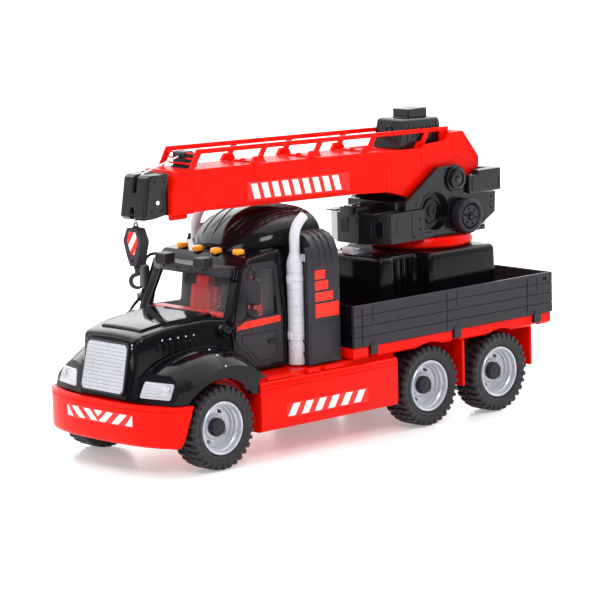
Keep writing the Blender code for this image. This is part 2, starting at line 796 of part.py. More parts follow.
def cheek():
    """The left cheek plate, with the pivot boss, the lightening hole and the winch bearing."""
    outline = [
        (-316.5, 216.3), (-316.5, 224), (-367, 257.5), (-396, 258), (-404.6, 243), (-407, 224.5),
        (-454, 223.5), (-453, 201.5), (-433, 190.3), (-342.4, 190.3), (-342.4, 216.3),
    ]
    plate = prism(outline, "y", *CHEEK_Y)
    x, z = PIVOT
    hexagon = [(px, pz) for px, pz in arc((x, z), 13.5, 20, 320, 5)]
    plate = union(plate, prism(hexagon, "y", CHEEK_Y[0], 43), rod((x, 42, z), (x, 45.5, z), 10.5, 20))
    return minus(
        plate,
        rod((-361, 30, 211.5), (-361, 50, 211.5), 20, 24),
        rod((WINCH[0], 30, WINCH[1]), (WINCH[0], 50, WINCH[1]), 4.6, 16),
        rod((x, 30, z), (x, 50, z), 6.4, 20),
    )


def counterweight():
    """A bar behind the boom with an arm along each side, open between them for the boom."""
    outline = [
        (-409, 46), (-458, 46), (-458, -46), (-409, -46), (-409, -35), (-446.8, -35), (-446.8, 35),
        (-409, 35),
    ]
    block = prism(outline, "z", 225, 249)
    return minus(block, box((-423, -400), (-50, 50), (244.5, 255)))


def winch_drum():
    profile = [
        (0, -43), (4, -43), (4, -34.5), (10, -34.5), (10, -31.5), (7.5, -31.5), (7.5, 31.5),
        (10, 31.5), (10, 34.5), (4, 34.5), (4, 52), (0, 52),
    ]
    return turned(profile, (WINCH[0], 0, WINCH[1]), steps=20)


def winch_knob():
    profile = [
        (4.3, 42.6), (17.5, 42.6), (18.6, 44), (18.6, 53.4), (17.2, 55), (14, 55), (12.8, 51.5),
        (11.8, 54.2), (4.3, 54.2),
    ]
    return turned(profile, (WINCH[0], 0, WINCH[1]), steps=28, ring=True)


def outer_boom():
    """A box tube flaring to a wide rear, with a channel on top and trunnions on the pivot."""
    loops = []
    for x, half in ((BOOM_MOUTH, BOOM_HALF), (-261, BOOM_HALF), (-297, REAR_HALF), (-301, REAR_HALF)):
        low = boom_z(x, BOOM_BOTTOM)
        high = boom_z(x, BOOM_TOP)
        loops.append([(x, -half, low), (x, half, low), (x, half, high), (x, -half, high)])
    rear = [
        (-298, boom_z(-298, BOOM_BOTTOM)), (-306, 236), (-332, 228), (-352, 226), (-386, 229.5),
        (-417, 243), (-437.6, 252), (-437.6, 262), (-414, 291.5), (-394, 291.5), (-388, 283.5),
        (-356, 281.5), (-352, boom_z(-352, BOOM_TOP)), (-298, boom_z(-298, BOOM_TOP)),
    ]
    boom = union(loft(loops), prism(rear, "y", -REAR_HALF, REAR_HALF))
    x, z = PIVOT
    boom = union(boom, rod((x, -45, z), (x, 45, z), 6.0, 20))
    inner = BOOM_HALF - BOOM_WALL
    ends = (BOOM_MOUTH + 5, -252)
    loops = []
    for end in ends:
        low = boom_z(end, BOOM_BOTTOM + BOOM_WALL)
        high = boom_z(end, BOOM_TOP - BOOM_WALL)
        loops.append([(end, -inner, low), (end, inner, low), (end, inner, high), (end, -inner, high)])
    floor = [(x, boom_z(x, CHANNEL_FLOOR)) for x in (-404, -303)]
    channel = [(-303, 295), (-406, 295)] + floor
    return minus(boom, loft(loops), prism(channel, "y", -28.5, 28.5))


def ladder_rail():
    """The left rail: a top bar on posts that lean back as they rise."""
    lean = 9.5
    width = 6.5
    bar = 4.6
    under = []
    for i, foot in enumerate(RAIL_FEET):
        floor = (BOOM_TOP if foot > -300 else CHANNEL_FLOOR) + GAP
        under += [
            (foot - lean, boom_z(foot - lean, BOOM_TOP + RAIL_RISE - bar)),
            (foot, boom_z(foot, floor)),
            (foot - width, boom_z(foot - width, floor)),
            (foot - width - lean, boom_z(foot - width - lean, BOOM_TOP + RAIL_RISE - bar)),
        ]
    front = (RAIL_FEET[0] - lean - 1.5, boom_z(RAIL_FEET[0], BOOM_TOP + RAIL_RISE))
    under[0] = front
    rear = -401.0
    tail = [
        (rear + 13, boom_z(rear + 13, BOOM_TOP + RAIL_RISE - bar)),
        (rear + 13, boom_z(rear + 13, CHANNEL_FLOOR + GAP)),
        (rear + 3, boom_z(rear + 3, CHANNEL_FLOOR + GAP)),
        (rear, boom_z(rear, BOOM_TOP + RAIL_RISE)),
    ]
    return prism(under + tail, "y", 21.3, 24.2)


def cabinet():
    floor = CHANNEL_FLOOR + GAP
    side = [
        (-331, boom_z(-331, floor)), (-338.5, 309), (-392, 307.5), (-393.5, 302),
        (-393.5, boom_z(-393.5, floor)),
    ]
    body = prism(side, "y", -19.5, 19.5)
    bevel(body, 2.0, lambda a, b: a.z > 300 and b.z > 300, 1)
    return union(body, box((-382, -353), (-11, 11), (306, 318)))


def line_guide():
    base = boom_z(-47, BOOM_TOP) + 0.5
    block = box((-54, -40), (-9, 9), (base, 303.5))
    return bevel(block, 2.0, lambda a, b: a.z > 300 and b.z > 300, 1)


def inner_boom():
    """The sliding section: a bar inside the tube, a collar at its front and two lock pegs."""
    half = BOOM_HALF - BOOM_WALL - 0.3
    loops = []
    for x in (-210, -36):
        low = boom_z(x, BOOM_BOTTOM + BOOM_WALL + 0.3)
        high = boom_z(x, BOOM_TOP - BOOM_WALL - 0.3)
        loops.append([(x, -half, low), (x, half, low), (x, half, high), (x, -half, high)])
    bar = loft(loops)
    front, back = -9.0, BOOM_MOUTH + GAP
    top = boom_z(back, BOOM_TOP)
    side = [
        (back, boom_z(back, BOOM_BOTTOM) - 1), (front, 243.6), (front, 266), (front - 9, top), (back, top),
    ]
    collar = prism(side, "y", -BOOM_HALF - 0.4, BOOM_HALF + 0.4)
    pegs = []
    for y in (-18.5, 18.5):
        pegs.append(rod((-31, y, 241.5), (-10.5, y, 241.5), 3.2, 10))
    return union(bar, collar, *pegs)


def boom_head():
    """The black nose, split by a slot that lets the line over the top and out below."""
    side = [(-8.7, 245.5), (13, 241.5), (21, 241.5), (23.6, 244.5), (17, 283), (14, 285.5), (-8.7, 285.5)]
    head = prism(side, "y", -18.5, 18.5)
    bevel(head, 3.0, lambda a, b: abs(a.y - b.y) < 0.1 and min(a.x, b.x) > 10, 2)
    slot = prism([(2, 230), (22, 230), (21.5, 256), (16, 270), (13, 300), (2, 300)], "y", -3.2, 3.2)
    top = box((10, 30), (-3.2, 3.2), (268, 300))
    bottom = box((10, 30), (-3.2, 3.2), (230, 254))
    back = box((-12, 5), (-3.2, 3.2), (283, 300))
    return minus(head, slot, top, bottom, back)


def boom_line():
    """The line from the guide to the head and down through its slot."""
    start = Vector((-39.6, 0, 298.4))
    bend = Vector((4, 0, 287.2))
    path = [start.lerp(bend, k / 4) for k in range(5)]
    path += [Vector((8, 0, 285.6)), Vector((10.8, 0, 282.6)), Vector((12.6, 0, 277.5))]
    path += [Vector((15.5, 0, 264)), Vector((HOOK_X, 0, 253)), Vector((HOOK_X, 0, PLUMB_Z + 3))]
    return tube(path, [LINE_R] * len(path), 8)


def hook_block():
    """A flat pointed block with an eye on top for the line."""
    half = [(4.5, 195.5), (9.5, 205), (13.2, 219), (11.5, 231), (7, BLOCK_TOP)]
    outline = half + [(-y, z) for y, z in reversed(half)]
    block = prism(outline, "x", HOOK_X - 5.5, HOOK_X + 5.5)
    return union(block, rod((HOOK_X, 0, 230), (HOOK_X, 0, 238.9), 2.0, 10))


def hook():
    """A shank and a round hook, turned a little from the block's face."""
    turn = math.radians(38)
    across = Vector((-math.sin(turn), math.cos(turn), 0))
    centre = Vector((HOOK_X, 0, 180.2))
    path = [Vector((HOOK_X, 0, 195.1)), Vector((HOOK_X, 0, 190))]
    radii = [2.4, 2.4]
    for k in range(9):
        swing = math.radians(78 + 29 * k)
        path.append(centre + across * 6.6 * math.cos(swing) + Vector((0, 0, 6.6 * math.sin(swing))))
        radii.append(2.1 - 0.11 * k if k > 4 else 2.1)
    return tube(path, radii, 10)


def crane():
    add_piece("pedestal", pedestal(), "black")
    add_piece("turntable_ring", turntable_ring(), "red")
    add_piece("turret_base", turret_base(), "satin_black", "turret")
    plate = cheek()
    add_piece("right_cheek", mirrored(plate), "satin_black", "turret")
    add_piece("left_cheek", plate, "satin_black", "turret")
    add_piece("counterweight", counterweight(), "satin_black", "turret")
    add_piece("winch_drum", winch_drum(), "satin_black", "winch")
    add_piece("winch_knob", winch_knob(), "satin_black", "winch")
    add_piece("outer_boom", outer_boom(), "red", "boom")
    rail = ladder_rail()
    add_piece("right_ladder_rail", mirrored(rail), "red", "boom")
    add_piece("left_ladder_rail", rail, "red", "boom")
    add_piece("boom_cabinet", cabinet(), "satin_black", "boom")
    add_piece("line_guide", line_guide(), "black", "boom")
    add_piece("inner_boom", inner_boom(), "red", "inner_boom")
    add_piece("boom_head", boom_head(), "satin_black", "inner_boom")
    add_piece("boom_line", boom_line(), "string", "inner_boom")
    line = rod((HOOK_X, 0, PLUMB_Z + 2.7), (HOOK_X, 0, 239.2), LINE_R, 8)
    add_piece("hoist_line", line, "string", "plumb_line")
    add_piece("hook_block", hook_block(), "satin_black", "block")
    add_piece("hook", hook(), "satin_black", "swivel")


clear_scene()
materials = make_materials()
axes = make_bodies()
wheels()
add_piece("chassis_frame", chassis_frame(), "red")
add_piece("bumper", bumper(), "red")
cover = skirt()
add_piece("right_side_skirt", mirrored(cover), "red")
add_piece("left_side_skirt", cover, "red")
bed()
cab()
crane()
bpy.context.view_layer.update()
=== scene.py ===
import math

import bmesh
import bpy
from mathutils import Matrix, Vector

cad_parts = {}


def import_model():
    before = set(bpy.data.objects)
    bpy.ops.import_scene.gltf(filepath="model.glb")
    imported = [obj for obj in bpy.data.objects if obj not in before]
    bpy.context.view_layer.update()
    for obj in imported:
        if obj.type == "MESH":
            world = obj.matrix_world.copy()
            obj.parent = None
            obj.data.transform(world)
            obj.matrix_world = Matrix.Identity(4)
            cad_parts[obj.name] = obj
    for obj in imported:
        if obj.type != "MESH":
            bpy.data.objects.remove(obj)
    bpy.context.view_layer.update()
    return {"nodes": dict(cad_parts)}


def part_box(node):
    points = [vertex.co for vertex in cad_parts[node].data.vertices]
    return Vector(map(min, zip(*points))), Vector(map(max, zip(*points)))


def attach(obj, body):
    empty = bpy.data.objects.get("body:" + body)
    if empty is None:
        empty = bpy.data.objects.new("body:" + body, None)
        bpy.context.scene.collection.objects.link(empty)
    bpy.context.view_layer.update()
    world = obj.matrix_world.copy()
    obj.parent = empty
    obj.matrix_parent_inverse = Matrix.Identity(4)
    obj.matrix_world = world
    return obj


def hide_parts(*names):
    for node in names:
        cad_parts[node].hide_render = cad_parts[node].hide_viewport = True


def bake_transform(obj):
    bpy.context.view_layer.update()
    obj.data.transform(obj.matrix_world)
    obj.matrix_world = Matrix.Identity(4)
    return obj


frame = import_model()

# Looks for a toy crane truck. Pieces are written in millimetres in the truck's own frame:
# X forward from the front axle, Y to the truck's left, Z up from the floor.

NODES = frame["nodes"]
MM = 0.001
AXLE_AT = sum(corner.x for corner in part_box("front_axle")) / 2

AXLES = {"front": 0.0, "mid": -289.0, "rear": -394.0}
WHEEL_Z = 42.0
WHEEL_Y = 86.2
TILT = 0.027
BOOM_MOUTH = -38.0
BOOM_TOP = 287.0
BOOM_BOTTOM = 244.5
BOOM_HALF = 24.0
PIVOT = (-392.0, 243.0)
WINCH = (-402.0, 203.0)
HOOK_X = 18.5
CAB_BELT = 138.0
RAIL_STEP = 5.0
BOARD_LOW, BOARD_TOP = 96.3, 139.4
CLIP_X = (-206.0, -328.0, -450.0)
PLANK_Z = (106.9, 117.7, 128.6)
ARCH_RADIUS = 49.3
MIRROR_POST = Vector((-61, 82, 0))
MIRROR_SWING = math.radians(19)
STACK = (-126.0, 74.0)
STACK_BRACKET_Z = (115, 172)
SLEW_AXIS = (-380, 0, 0)
MOTOR_AXIS = (-361, 0, 211.5)
HEAD_PIN = (5.9, 0, 258.2)
VIEW_AHEAD = (-0.686, -0.728, 0.0)


def world(point):
    """A point of the truck's frame, in the scene's metres."""
    return Vector((point[0] * MM + AXLE_AT, point[1] * MM, point[2] * MM))


# ---------------------------------------------------------------- mesh helpers


def place_on(axis):
    """Puts plane coordinates a, b and a depth t on the plane across an axis."""
    return {
        "x": lambda a, b, t: (t, a, b),
        "y": lambda a, b, t: (a, t, b),
        "z": lambda a, b, t: (a, b, t),
    }[axis]


def loft(loops, ring=False):
    """A closed solid through loops of equally many points; ring joins the last to the first."""
    bm = bmesh.new()
    rows = [[bm.verts.new(point) for point in loop] for loop in loops]
    count = len(rows[0])
    pairs = list(zip(rows, rows[1:]))
    if ring:
        pairs.append((rows[-1], rows[0]))
    for low, high in pairs:
        for i in range(count):
            j = (i + 1) % count
            bm.faces.new((low[i], low[j], high[j], high[i]))
    if not ring:
        bm.faces.new(list(reversed(rows[0])))
        bm.faces.new(rows[-1])
    bmesh.ops.recalc_face_normals(bm, faces=bm.faces)
    return bm


def prism(outline, place, low, high):
    """An outline pulled from low to high; place is an axis letter or a function (a, b, t)."""
    put = place_on(place) if isinstance(place, str) else place
    return loft([[put(a, b, t) for a, b in outline] for t in (low, high)])


def rect(a, b, radius=0):
    """A rectangle between two values of a and two of b, with its corners filleted where asked."""
    corners = [(a[0], b[0]), (a[1], b[0]), (a[1], b[1]), (a[0], b[1])]
    return rounded(corners, radius) if radius else corners


def box(x, y, z):
    """A block between two values on each axis."""
    return prism(rect(x, y), "z", *z)


def hoop(outer, inner, place, low, high):
    """A frame between two outlines of equally many points."""
    put = place_on(place) if isinstance(place, str) else place
    loops = []
    for (a, b), (c, d) in zip(outer, inner):
        loops.append([put(a, b, low), put(a, b, high), put(c, d, high), put(c, d, low)])
    return loft(loops, ring=True)


def rounded(outline, radius, steps=4):
    """The outline with each corner filleted."""
    points = []
    count = len(outline)
    for i, corner in enumerate(outline):
        here = Vector(corner)
        back = (Vector(outline[i - 1]) - here)
        ahead = (Vector(outline[(i + 1) % count]) - here)
        reach = min(radius, back.length * 0.49, ahead.length * 0.49)
        start = here + back.normalized() * reach
        end = here + ahead.normalized() * reach
        for k in range(steps + 1):
            t = k / steps
            point = start * (1 - t) ** 2 + here * 2 * t * (1 - t) + end * t ** 2
            points.append((point.x, point.y))
    return points


def shrunk(outline, amount):
    """The outline moved inwards by amount on every side."""
    count = len(outline)
    area = sum(
        outline[i - 1][0] * outline[i][1] - outline[i][0] * outline[i - 1][1] for i in range(count)
    )
    turn = 1 if area > 0 else -1
    moved = []
    for i in range(count):
        a, b, c = Vector(outline[i - 1]), Vector(outline[i]), Vector(outline[(i + 1) % count])
        u, v = (b - a).normalized(), (c - b).normalized()
        inward = (Vector((-u.y, u.x)) + Vector((-v.y, v.x))) * turn
        scale = amount / max(inward.length_squared / 2, 0.3)
        moved.append(tuple(b + inward * scale))
    return moved


def turned(profile, centre=(0, 0, 0), axis="y", steps=48, ring=False):
    """Turns (radius, along) points about an axis through centre."""
    put = {
        "x": lambda r, t, c, s: (t, r * c, r * s),
        "y": lambda r, t, c, s: (r * c, t, r * s),
        "z": lambda r, t, c, s: (r * c, r * s, t),
    }[axis]
    bm = bmesh.new()
    rows = []
    for radius, along in profile:
        count = 1 if radius == 0 else steps
        row = []
        for k in range(count):
            turn = 2 * math.pi * k / steps
            point = put(radius, along, math.cos(turn), math.sin(turn))
            row.append(bm.verts.new(Vector(point) + Vector(centre)))
        rows.append(row)
    pairs = list(zip(rows, rows[1:])) + ([(rows[-1], rows[0])] if ring else [])
    for low, high in pairs:
        for k in range(steps):
            j = (k + 1) % steps
            corners = [low[k % len(low)], low[j % len(low)], high[j % len(high)], high[k % len(high)]]
            corners = list(dict.fromkeys(corners))
            if len(corners) > 2:
                bm.faces.new(corners)
    bmesh.ops.recalc_face_normals(bm, faces=bm.faces)
    return bm


def curve_through(points, steps):
    """Points on a smooth line through points, steps of them to each stretch."""
    pts = [Vector(p) for p in points]
    pts = [pts[0] * 2 - pts[1]] + pts + [pts[-1] * 2 - pts[-2]]
    out = []
    for a, b, c, d in zip(pts, pts[1:], pts[2:], pts[3:]):
        for k in range(steps):
            t = k / steps
            out.append(0.5 * (
                2 * b + (c - a) * t + (2 * a - 5 * b + 4 * c - d) * t ** 2
                + (3 * b - a - 3 * c + d) * t ** 3
            ))
    return out + [pts[-2]]


def tube(path, radius, steps=16):
    """A round bar along a path; radius is one number or one for each point."""
    points = [Vector(p) for p in path]
    radii = radius if isinstance(radius, list) else [radius] * len(points)
    loops = []
    side = None
    for i, point in enumerate(points):
        ahead = (points[min(i + 1, len(points) - 1)] - points[max(i - 1, 0)]).normalized()
        if side is None:
            side = ahead.orthogonal().normalized()
        side = (side - ahead * side.dot(ahead)).normalized()
        other = ahead.cross(side)
        loop = []
        for k in range(steps):
            turn = 2 * math.pi * k / steps
            loop.append(point + (side * math.cos(turn) + other * math.sin(turn)) * radii[i])
        loops.append(loop)
    return loft(loops)


def stud(foot, radius, rim, crown, centre, axis="y", steps=16):
    """A low domed stud from foot to crown along the axis."""
    profile = [(0, foot), (radius, foot), (radius - 0.2, rim), (0, crown)]
    return turned(profile, centre, axis, steps)


def joined(*parts):
    """All parts in one bmesh, each its own closed shell."""
    result = parts[0]
    for part in parts[1:]:
        mesh = bpy.data.meshes.new("working")
        part.to_mesh(mesh)
        part.free()
        result.from_mesh(mesh)
        bpy.data.meshes.remove(mesh)
    return result


def boolean(bm, other, operation):
    """An exact Boolean of two bmeshes; both are freed."""
    objects = []
    for part in (bm, other):
        mesh = bpy.data.meshes.new("working")
        part.to_mesh(mesh)
        part.free()
        obj = bpy.data.objects.new("working", mesh)
        bpy.context.collection.objects.link(obj)
        objects.append(obj)
    modifier = objects[0].modifiers.new("cut", "BOOLEAN")
    modifier.operation = operation
    modifier.solver = "EXACT"
    modifier.object = objects[1]
    evaluated = objects[0].evaluated_get(bpy.context.evaluated_depsgraph_get())
    result = bmesh.new()
    result.from_mesh(evaluated.to_mesh())
    evaluated.to_mesh_clear()
    for obj in objects:
        mesh = obj.data
        bpy.data.objects.remove(obj)
        bpy.data.meshes.remove(mesh)
    bmesh.ops.remove_doubles(result, verts=result.verts, dist=0.004)
    return result


def minus(bm, *cutters):
    """The shape with each cutter taken out, one after another."""
    for cutter in cutters:
        bm = boolean(bm, cutter, "DIFFERENCE")
    return bm


def union(bm, *others):
    for other in others:
        bm = boolean(bm, other, "UNION")
    return bm


def mirrored(bm):
    """A copy on the truck's other side."""
    copy = bm.copy()
    bmesh.ops.scale(copy, vec=(1, -1, 1), verts=copy.verts)
    bmesh.ops.reverse_faces(copy, faces=copy.faces)
    return copy


def moved(bm, matrix):
    bmesh.ops.transform(bm, matrix=matrix, verts=bm.verts)
    return bm


# ---------------------------------------------------------------- materials


def node(tree, kind, **inputs):
    """A shader node; keys are inputs (i0 is the first) or properties, sockets are linked."""
    made = tree.nodes.new("ShaderNode" + kind)
    for key, value in inputs.items():
        name = key.replace("_", " ").title() if not key[1:].isdigit() else None
        if name is None:
            target = made.inputs[int(key[1:])]
        elif name in made.inputs:
            target = made.inputs[name]
        else:
            setattr(made, key, value)
            continue
        if isinstance(value, bpy.types.NodeSocket):
            tree.links.new(value, target)
        else:
            target.default_value = value
    return made


def math_node(tree, operation, a, b):
    return node(tree, "Math", operation=operation, i0=a, i1=b).outputs[0]


def remap(tree, value, low, high, to_low, to_high):
    made = node(
        tree, "MapRange", i0=value, i1=low, i2=high, i3=to_low, i4=to_high
    )
    return made.outputs[0]


def noise(tree, coordinate, scale, detail=3.0, roughness=0.55):
    return node(
        tree, "TexNoise", vector=coordinate, scale=scale, detail=detail, roughness=roughness
    ).outputs[0]


def mix(tree, factor, a, b):
    made = node(tree, "Mix", data_type="RGBA", i0=factor)
    for index, value in ((6, a), (7, b)):
        if isinstance(value, bpy.types.NodeSocket):
            tree.links.new(value, made.inputs[index])
        else:
            made.inputs[index].default_value = (*value, 1.0)
    return made.outputs[2]


def plastic(
    name, colour, rough, grain=0.0, ripple=0.0, metallic=0.0, coat=0.0, scuff=0.05, vary=0.08, shine=0.5,
):
    """Moulded plastic: flow marks in its colour, handling marks, fine grain and slow ripples."""
    mat = bpy.data.materials.new(name)
    mat.use_nodes = True
    tree = mat.node_tree
    shader = tree.nodes["Principled BSDF"]
    base_colour, roughness = shader.inputs["Base Color"], shader.inputs["Roughness"]
    at = node(tree, "TexCoord").outputs["Object"]
    flow = noise(tree, at, 28.0, 4.0)
    fine = noise(tree, at, 2600.0, 2.0)
    stretched = node(tree, "Mapping", vector=at, scale=(60.0, 420.0, 900.0)).outputs[0]
    marks = remap(tree, noise(tree, stretched, 3.0, 6.0, 0.7), 0.60, 0.74, 0.0, 1.0)
    dark = tuple(c * (1 - vary) for c in colour)
    light = tuple(min(1.0, c * (1 + vary)) for c in colour)
    base = mix(tree, remap(tree, flow, 0.3, 0.7, 0.0, 1.0), dark, light)
    worn = tuple(min(1.0, c * 1.15 + 0.012) for c in colour)
    scuffed = math_node(tree, "MULTIPLY", marks, scuff)
    tree.links.new(mix(tree, scuffed, base, worn), base_colour)
    smudge = remap(tree, noise(tree, at, 75.0, 5.0), 0.35, 0.75, rough * 0.85, rough * 1.25)
    tree.links.new(math_node(tree, "ADD", smudge, scuffed), roughness)
    shader.inputs["Metallic"].default_value = metallic
    shader.inputs["Specular IOR Level"].default_value = shine
    shader.inputs["Coat Weight"].default_value = coat
    shader.inputs["Coat Roughness"].default_value = 0.06
    height = math_node(
        tree, "ADD", math_node(tree, "MULTIPLY", fine, grain),
        math_node(tree, "MULTIPLY", noise(tree, at, 140.0, 2.0), ripple),
    )
    bump = node(tree, "Bump", strength=1.0, distance=0.001, height=height)
    tree.links.new(bump.outputs[0], shader.inputs["Normal"])
    return mat


def glass(name, colour, alpha):
    mat = bpy.data.materials.new(name)
    mat.use_nodes = True
    shader = mat.node_tree.nodes["Principled BSDF"]
    shader.inputs["Base Color"].default_value = (*colour, 1.0)
    shader.inputs["Roughness"].default_value = 0.04
    shader.inputs["Alpha"].default_value = alpha
    return mat


def twisted(name, colour):
    """Braided line: slanting strands in the bump and a little fluff in the colour."""
    mat = plastic(name, colour, 0.85, grain=0.25, vary=0.12)
    tree = mat.node_tree
    at = node(tree, "TexCoord").outputs["Object"]
    slanted = node(tree, "Mapping", vector=at, rotation=(0.5, 0.6, 0.0)).outputs[0]
    strands = node(tree, "TexWave", vector=slanted, scale=420.0, distortion=1.5).outputs[1]
    bump = node(tree, "Bump", strength=0.7, distance=0.0003, height=strands)
    tree.links.new(bump.outputs[0], tree.nodes["Principled BSDF"].inputs["Normal"])
    return mat


MATS = {
    "red": plastic("red", (0.740, 0.0045, 0.0004), 0.22, grain=0.02, ripple=0.06, shine=0.09),
    "red_trim": plastic("red_trim", (0.86, 0.014, 0.008), 0.26, grain=0.03, ripple=0.05, shine=0.25),
    "gloss": plastic(
        "gloss", (0.0035, 0.0035, 0.005), 0.09, grain=0.01, ripple=0.06, coat=0.02, scuff=0.03, shine=0.18,
    ),
    "sheen": plastic(
        "sheen", (0.0065, 0.0058, 0.0080), 0.20, grain=0.03, ripple=0.05, coat=0.04, scuff=0.04, shine=0.34,
    ),
    "satin": plastic("satin", (0.0185, 0.0155, 0.0215), 0.40, grain=0.10, ripple=0.03, shine=0.26),
    "rubber": plastic(
        "rubber", (0.013, 0.012, 0.015), 0.50, grain=0.18, ripple=0.05, scuff=0.12, vary=0.18, shine=0.35,
    ),
    "silver": plastic("silver", (0.50, 0.51, 0.56), 0.30, grain=0.03, ripple=0.03, metallic=0.35),
    "grey": plastic("grey", (0.56, 0.56, 0.62), 0.36, grain=0.05, ripple=0.03),
    "orange": plastic("orange", (0.95, 0.34, 0.004), 0.16, ripple=0.05, coat=0.2),
    "line": twisted("line", (0.82, 0.80, 0.77)),
    "white": plastic("white", (0.88, 0.88, 0.87), 0.35, grain=0.01, vary=0.03),
    "signal": plastic("signal", (0.86, 0.026, 0.012), 0.35, grain=0.01, vary=0.04, shine=0.2),
    "glass": glass("glass", (0.80, 0.82, 0.84), 0.045),
}


# ---------------------------------------------------------------- putting pieces in the scene


def finish_mesh(obj, edge, smooth):
    """Soft moulded edges where edge is given, in millimetres, and sharp ones otherwise."""
    obj.data.shade_smooth()
    if edge:
        rounding = obj.modifiers.new("edges", "BEVEL")
        rounding.width = edge * MM
        rounding.segments = 2
        rounding.limit_method = "ANGLE"
        rounding.angle_limit = math.radians(32)
        rounding.harden_normals = False
        weighted = obj.modifiers.new("normals", "WEIGHTED_NORMAL")
        weighted.weight = 60
    else:
        obj.data.set_sharp_from_angle(angle=math.radians(smooth))


def piece(name, bm, look, body="chassis", edge=0.35, smooth=35, replaces=(), at=None):
    """Puts a bmesh in millimetres into the scene; at moves it by its object, in millimetres."""
    bmesh.ops.recalc_face_normals(bm, faces=bm.faces)
    for vert in bm.verts:
        vert.co = vert.co * MM if at else world(vert.co)
    mesh = bpy.data.meshes.new(name)
    bm.to_mesh(mesh)
    bm.free()
    mesh.materials.append(MATS[look])
    return mount(name, mesh, body, edge, smooth, replaces, at)


def mount(name, mesh, body, edge=0.35, smooth=35, replaces=(), at=None):
    """Puts a finished mesh into the scene on its body."""
    obj = bpy.data.objects.new(name, mesh)
    bpy.context.scene.collection.objects.link(obj)
    if at:
        obj.location = world(at)
    finish_mesh(obj, edge, smooth)
    if body:
        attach(obj, body)
    if replaces:
        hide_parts(*replaces)
    return obj


def pair(name, bm, look, body="chassis", replaces="", **options):
    """A left piece and its mirror image; body and replaces may hold {side}."""
    other = mirrored(bm)
    for side, shape in (("left", bm), ("right", other)):
        gone = (replaces.format(side=side),) if replaces else ()
        piece(f"{side}_{name}", shape, look, body.format(side=side), replaces=gone, **options)


def dress(names, look, edge=0.5):
    """Gives CAD nodes a finish and soft edges; their own vertices stay where they are."""
    for name in names.split():
        obj = NODES[name]
        obj.data.materials.clear()
        obj.data.materials.append(MATS[look])
        if "custom_normal" in obj.data.attributes:
            obj.data.attributes.remove(obj.data.attributes["custom_normal"])
        weld = obj.modifiers.new("weld", "WELD")
        weld.merge_threshold = 2e-6
        flat = obj.modifiers.new("flat", "DECIMATE")
        flat.decimate_type = "DISSOLVE"
        flat.angle_limit = math.radians(0.6)
        finish_mesh(obj, edge, 35)


# ---------------------------------------------------------------- wheels


def tyre_mesh():
    """Chunky off-road tread: two staggered rows of blocks that run on to the shoulders."""
    lugs, parts = 32, 10
    rows = [
        (27.2, 12.4, 0), (28.2, 13.6, 0), (29.6, 14.2, 0), (30.4, 14.7, 0), (31.2, 14.7, 0),
        (31.8, 14.3, 0), (34.0, 14.7, 0), (35.2, 14.8, 0), (35.9, 14.5, 3), (37.6, 14.1, 3),
        (39.0, 13.3, 3), (39.4, 12.2, 3), (39.4, 8.4, 1), (39.4, 3.6, 1), (39.4, 3.0, 0),
        (39.4, 2.2, 0), (39.4, 1.7, 2), (39.4, -1.7, 2), (39.4, -2.2, 0), (39.4, -3.0, 0),
        (39.4, -3.6, 1), (39.4, -8.4, 1), (39.4, -12.2, 3), (39.0, -13.3, 3), (37.6, -14.1, 3),
        (35.9, -14.5, 3), (35.2, -14.8, 0), (34.0, -14.7, 0), (31.8, -14.3, 0), (30.4, -14.7, 0),
        (28.2, -13.6, 0), (27.2, -12.4, 0),
    ]
    loops = []
    for k in range(lugs * parts):
        turn = 2 * math.pi * k / (lugs * parts)
        loop = []
        for radius, across, kind in rows:
            slant = round(across * 0.22)
            phase = (k + (parts // 2 if across < 0 else 0) + (slant if kind in (1, 3) else 0)) % parts
            if kind == 2:
                up = phase not in (4, 5)
            elif kind:
                up = phase < (6 if kind == 1 else 5) or (kind == 3 and phase == 5 and (k // parts) % 2)
            else:
                up = False
            r, y = radius, across
            if up and kind == 3:
                r += 2.2 if radius > 38.5 else 0.9
                y += math.copysign(0.9, across)
                if radius < 36.5 and (k // parts) % 2:
                    r += 1.0
            elif up:
                r += 2.5
            if kind and not up and abs(across) < 12:
                r -= 0.3
            r, y = min(r, 41.95), max(-15.45, min(15.45, y))
            loop.append((r * math.cos(turn), y, r * math.sin(turn)))
        loops.append(loop)
    return loft(loops, ring=True)


def rim_mesh():
    """A stepped dish with four oval openings, for the left side."""
    profile = [
        (26.5, -12.4), (26.6, 12.6), (26.5, 13.7), (25.9, 14.3), (25.0, 14.4), (24.3, 13.9), (24.0, 12.8),
        (23.7, 9.4), (22.9, 8.3), (22.5, 7.9), (22.2, 5.2), (21.6, 4.2), (20.9, 3.9), (20.6, 1.6),
        (19.9, 0.6), (18.9, 0.2), (13.2, 0.2), (12.4, 0.7), (11.9, 1.7), (10.9, 2.0), (2.6, 2.0),
        (2.6, -6.0), (21.0, -6.0), (24.0, -12.4),
    ]
    dish = turned(profile, steps=96, ring=True)
    holes = []
    for k in range(4):
        middle = math.radians(27 + 90 * k)
        outline = []
        for s in range(20):
            swing = 2 * math.pi * s / 20
            r = 16.2 + 1.9 * math.cos(swing)
            turn = middle + math.radians(12.5) * math.sin(swing)
            outline.append((r * math.cos(turn), r * math.sin(turn)))
        holes.append(prism(outline, "y", -8, 3))
    return minus(dish, joined(*holes))


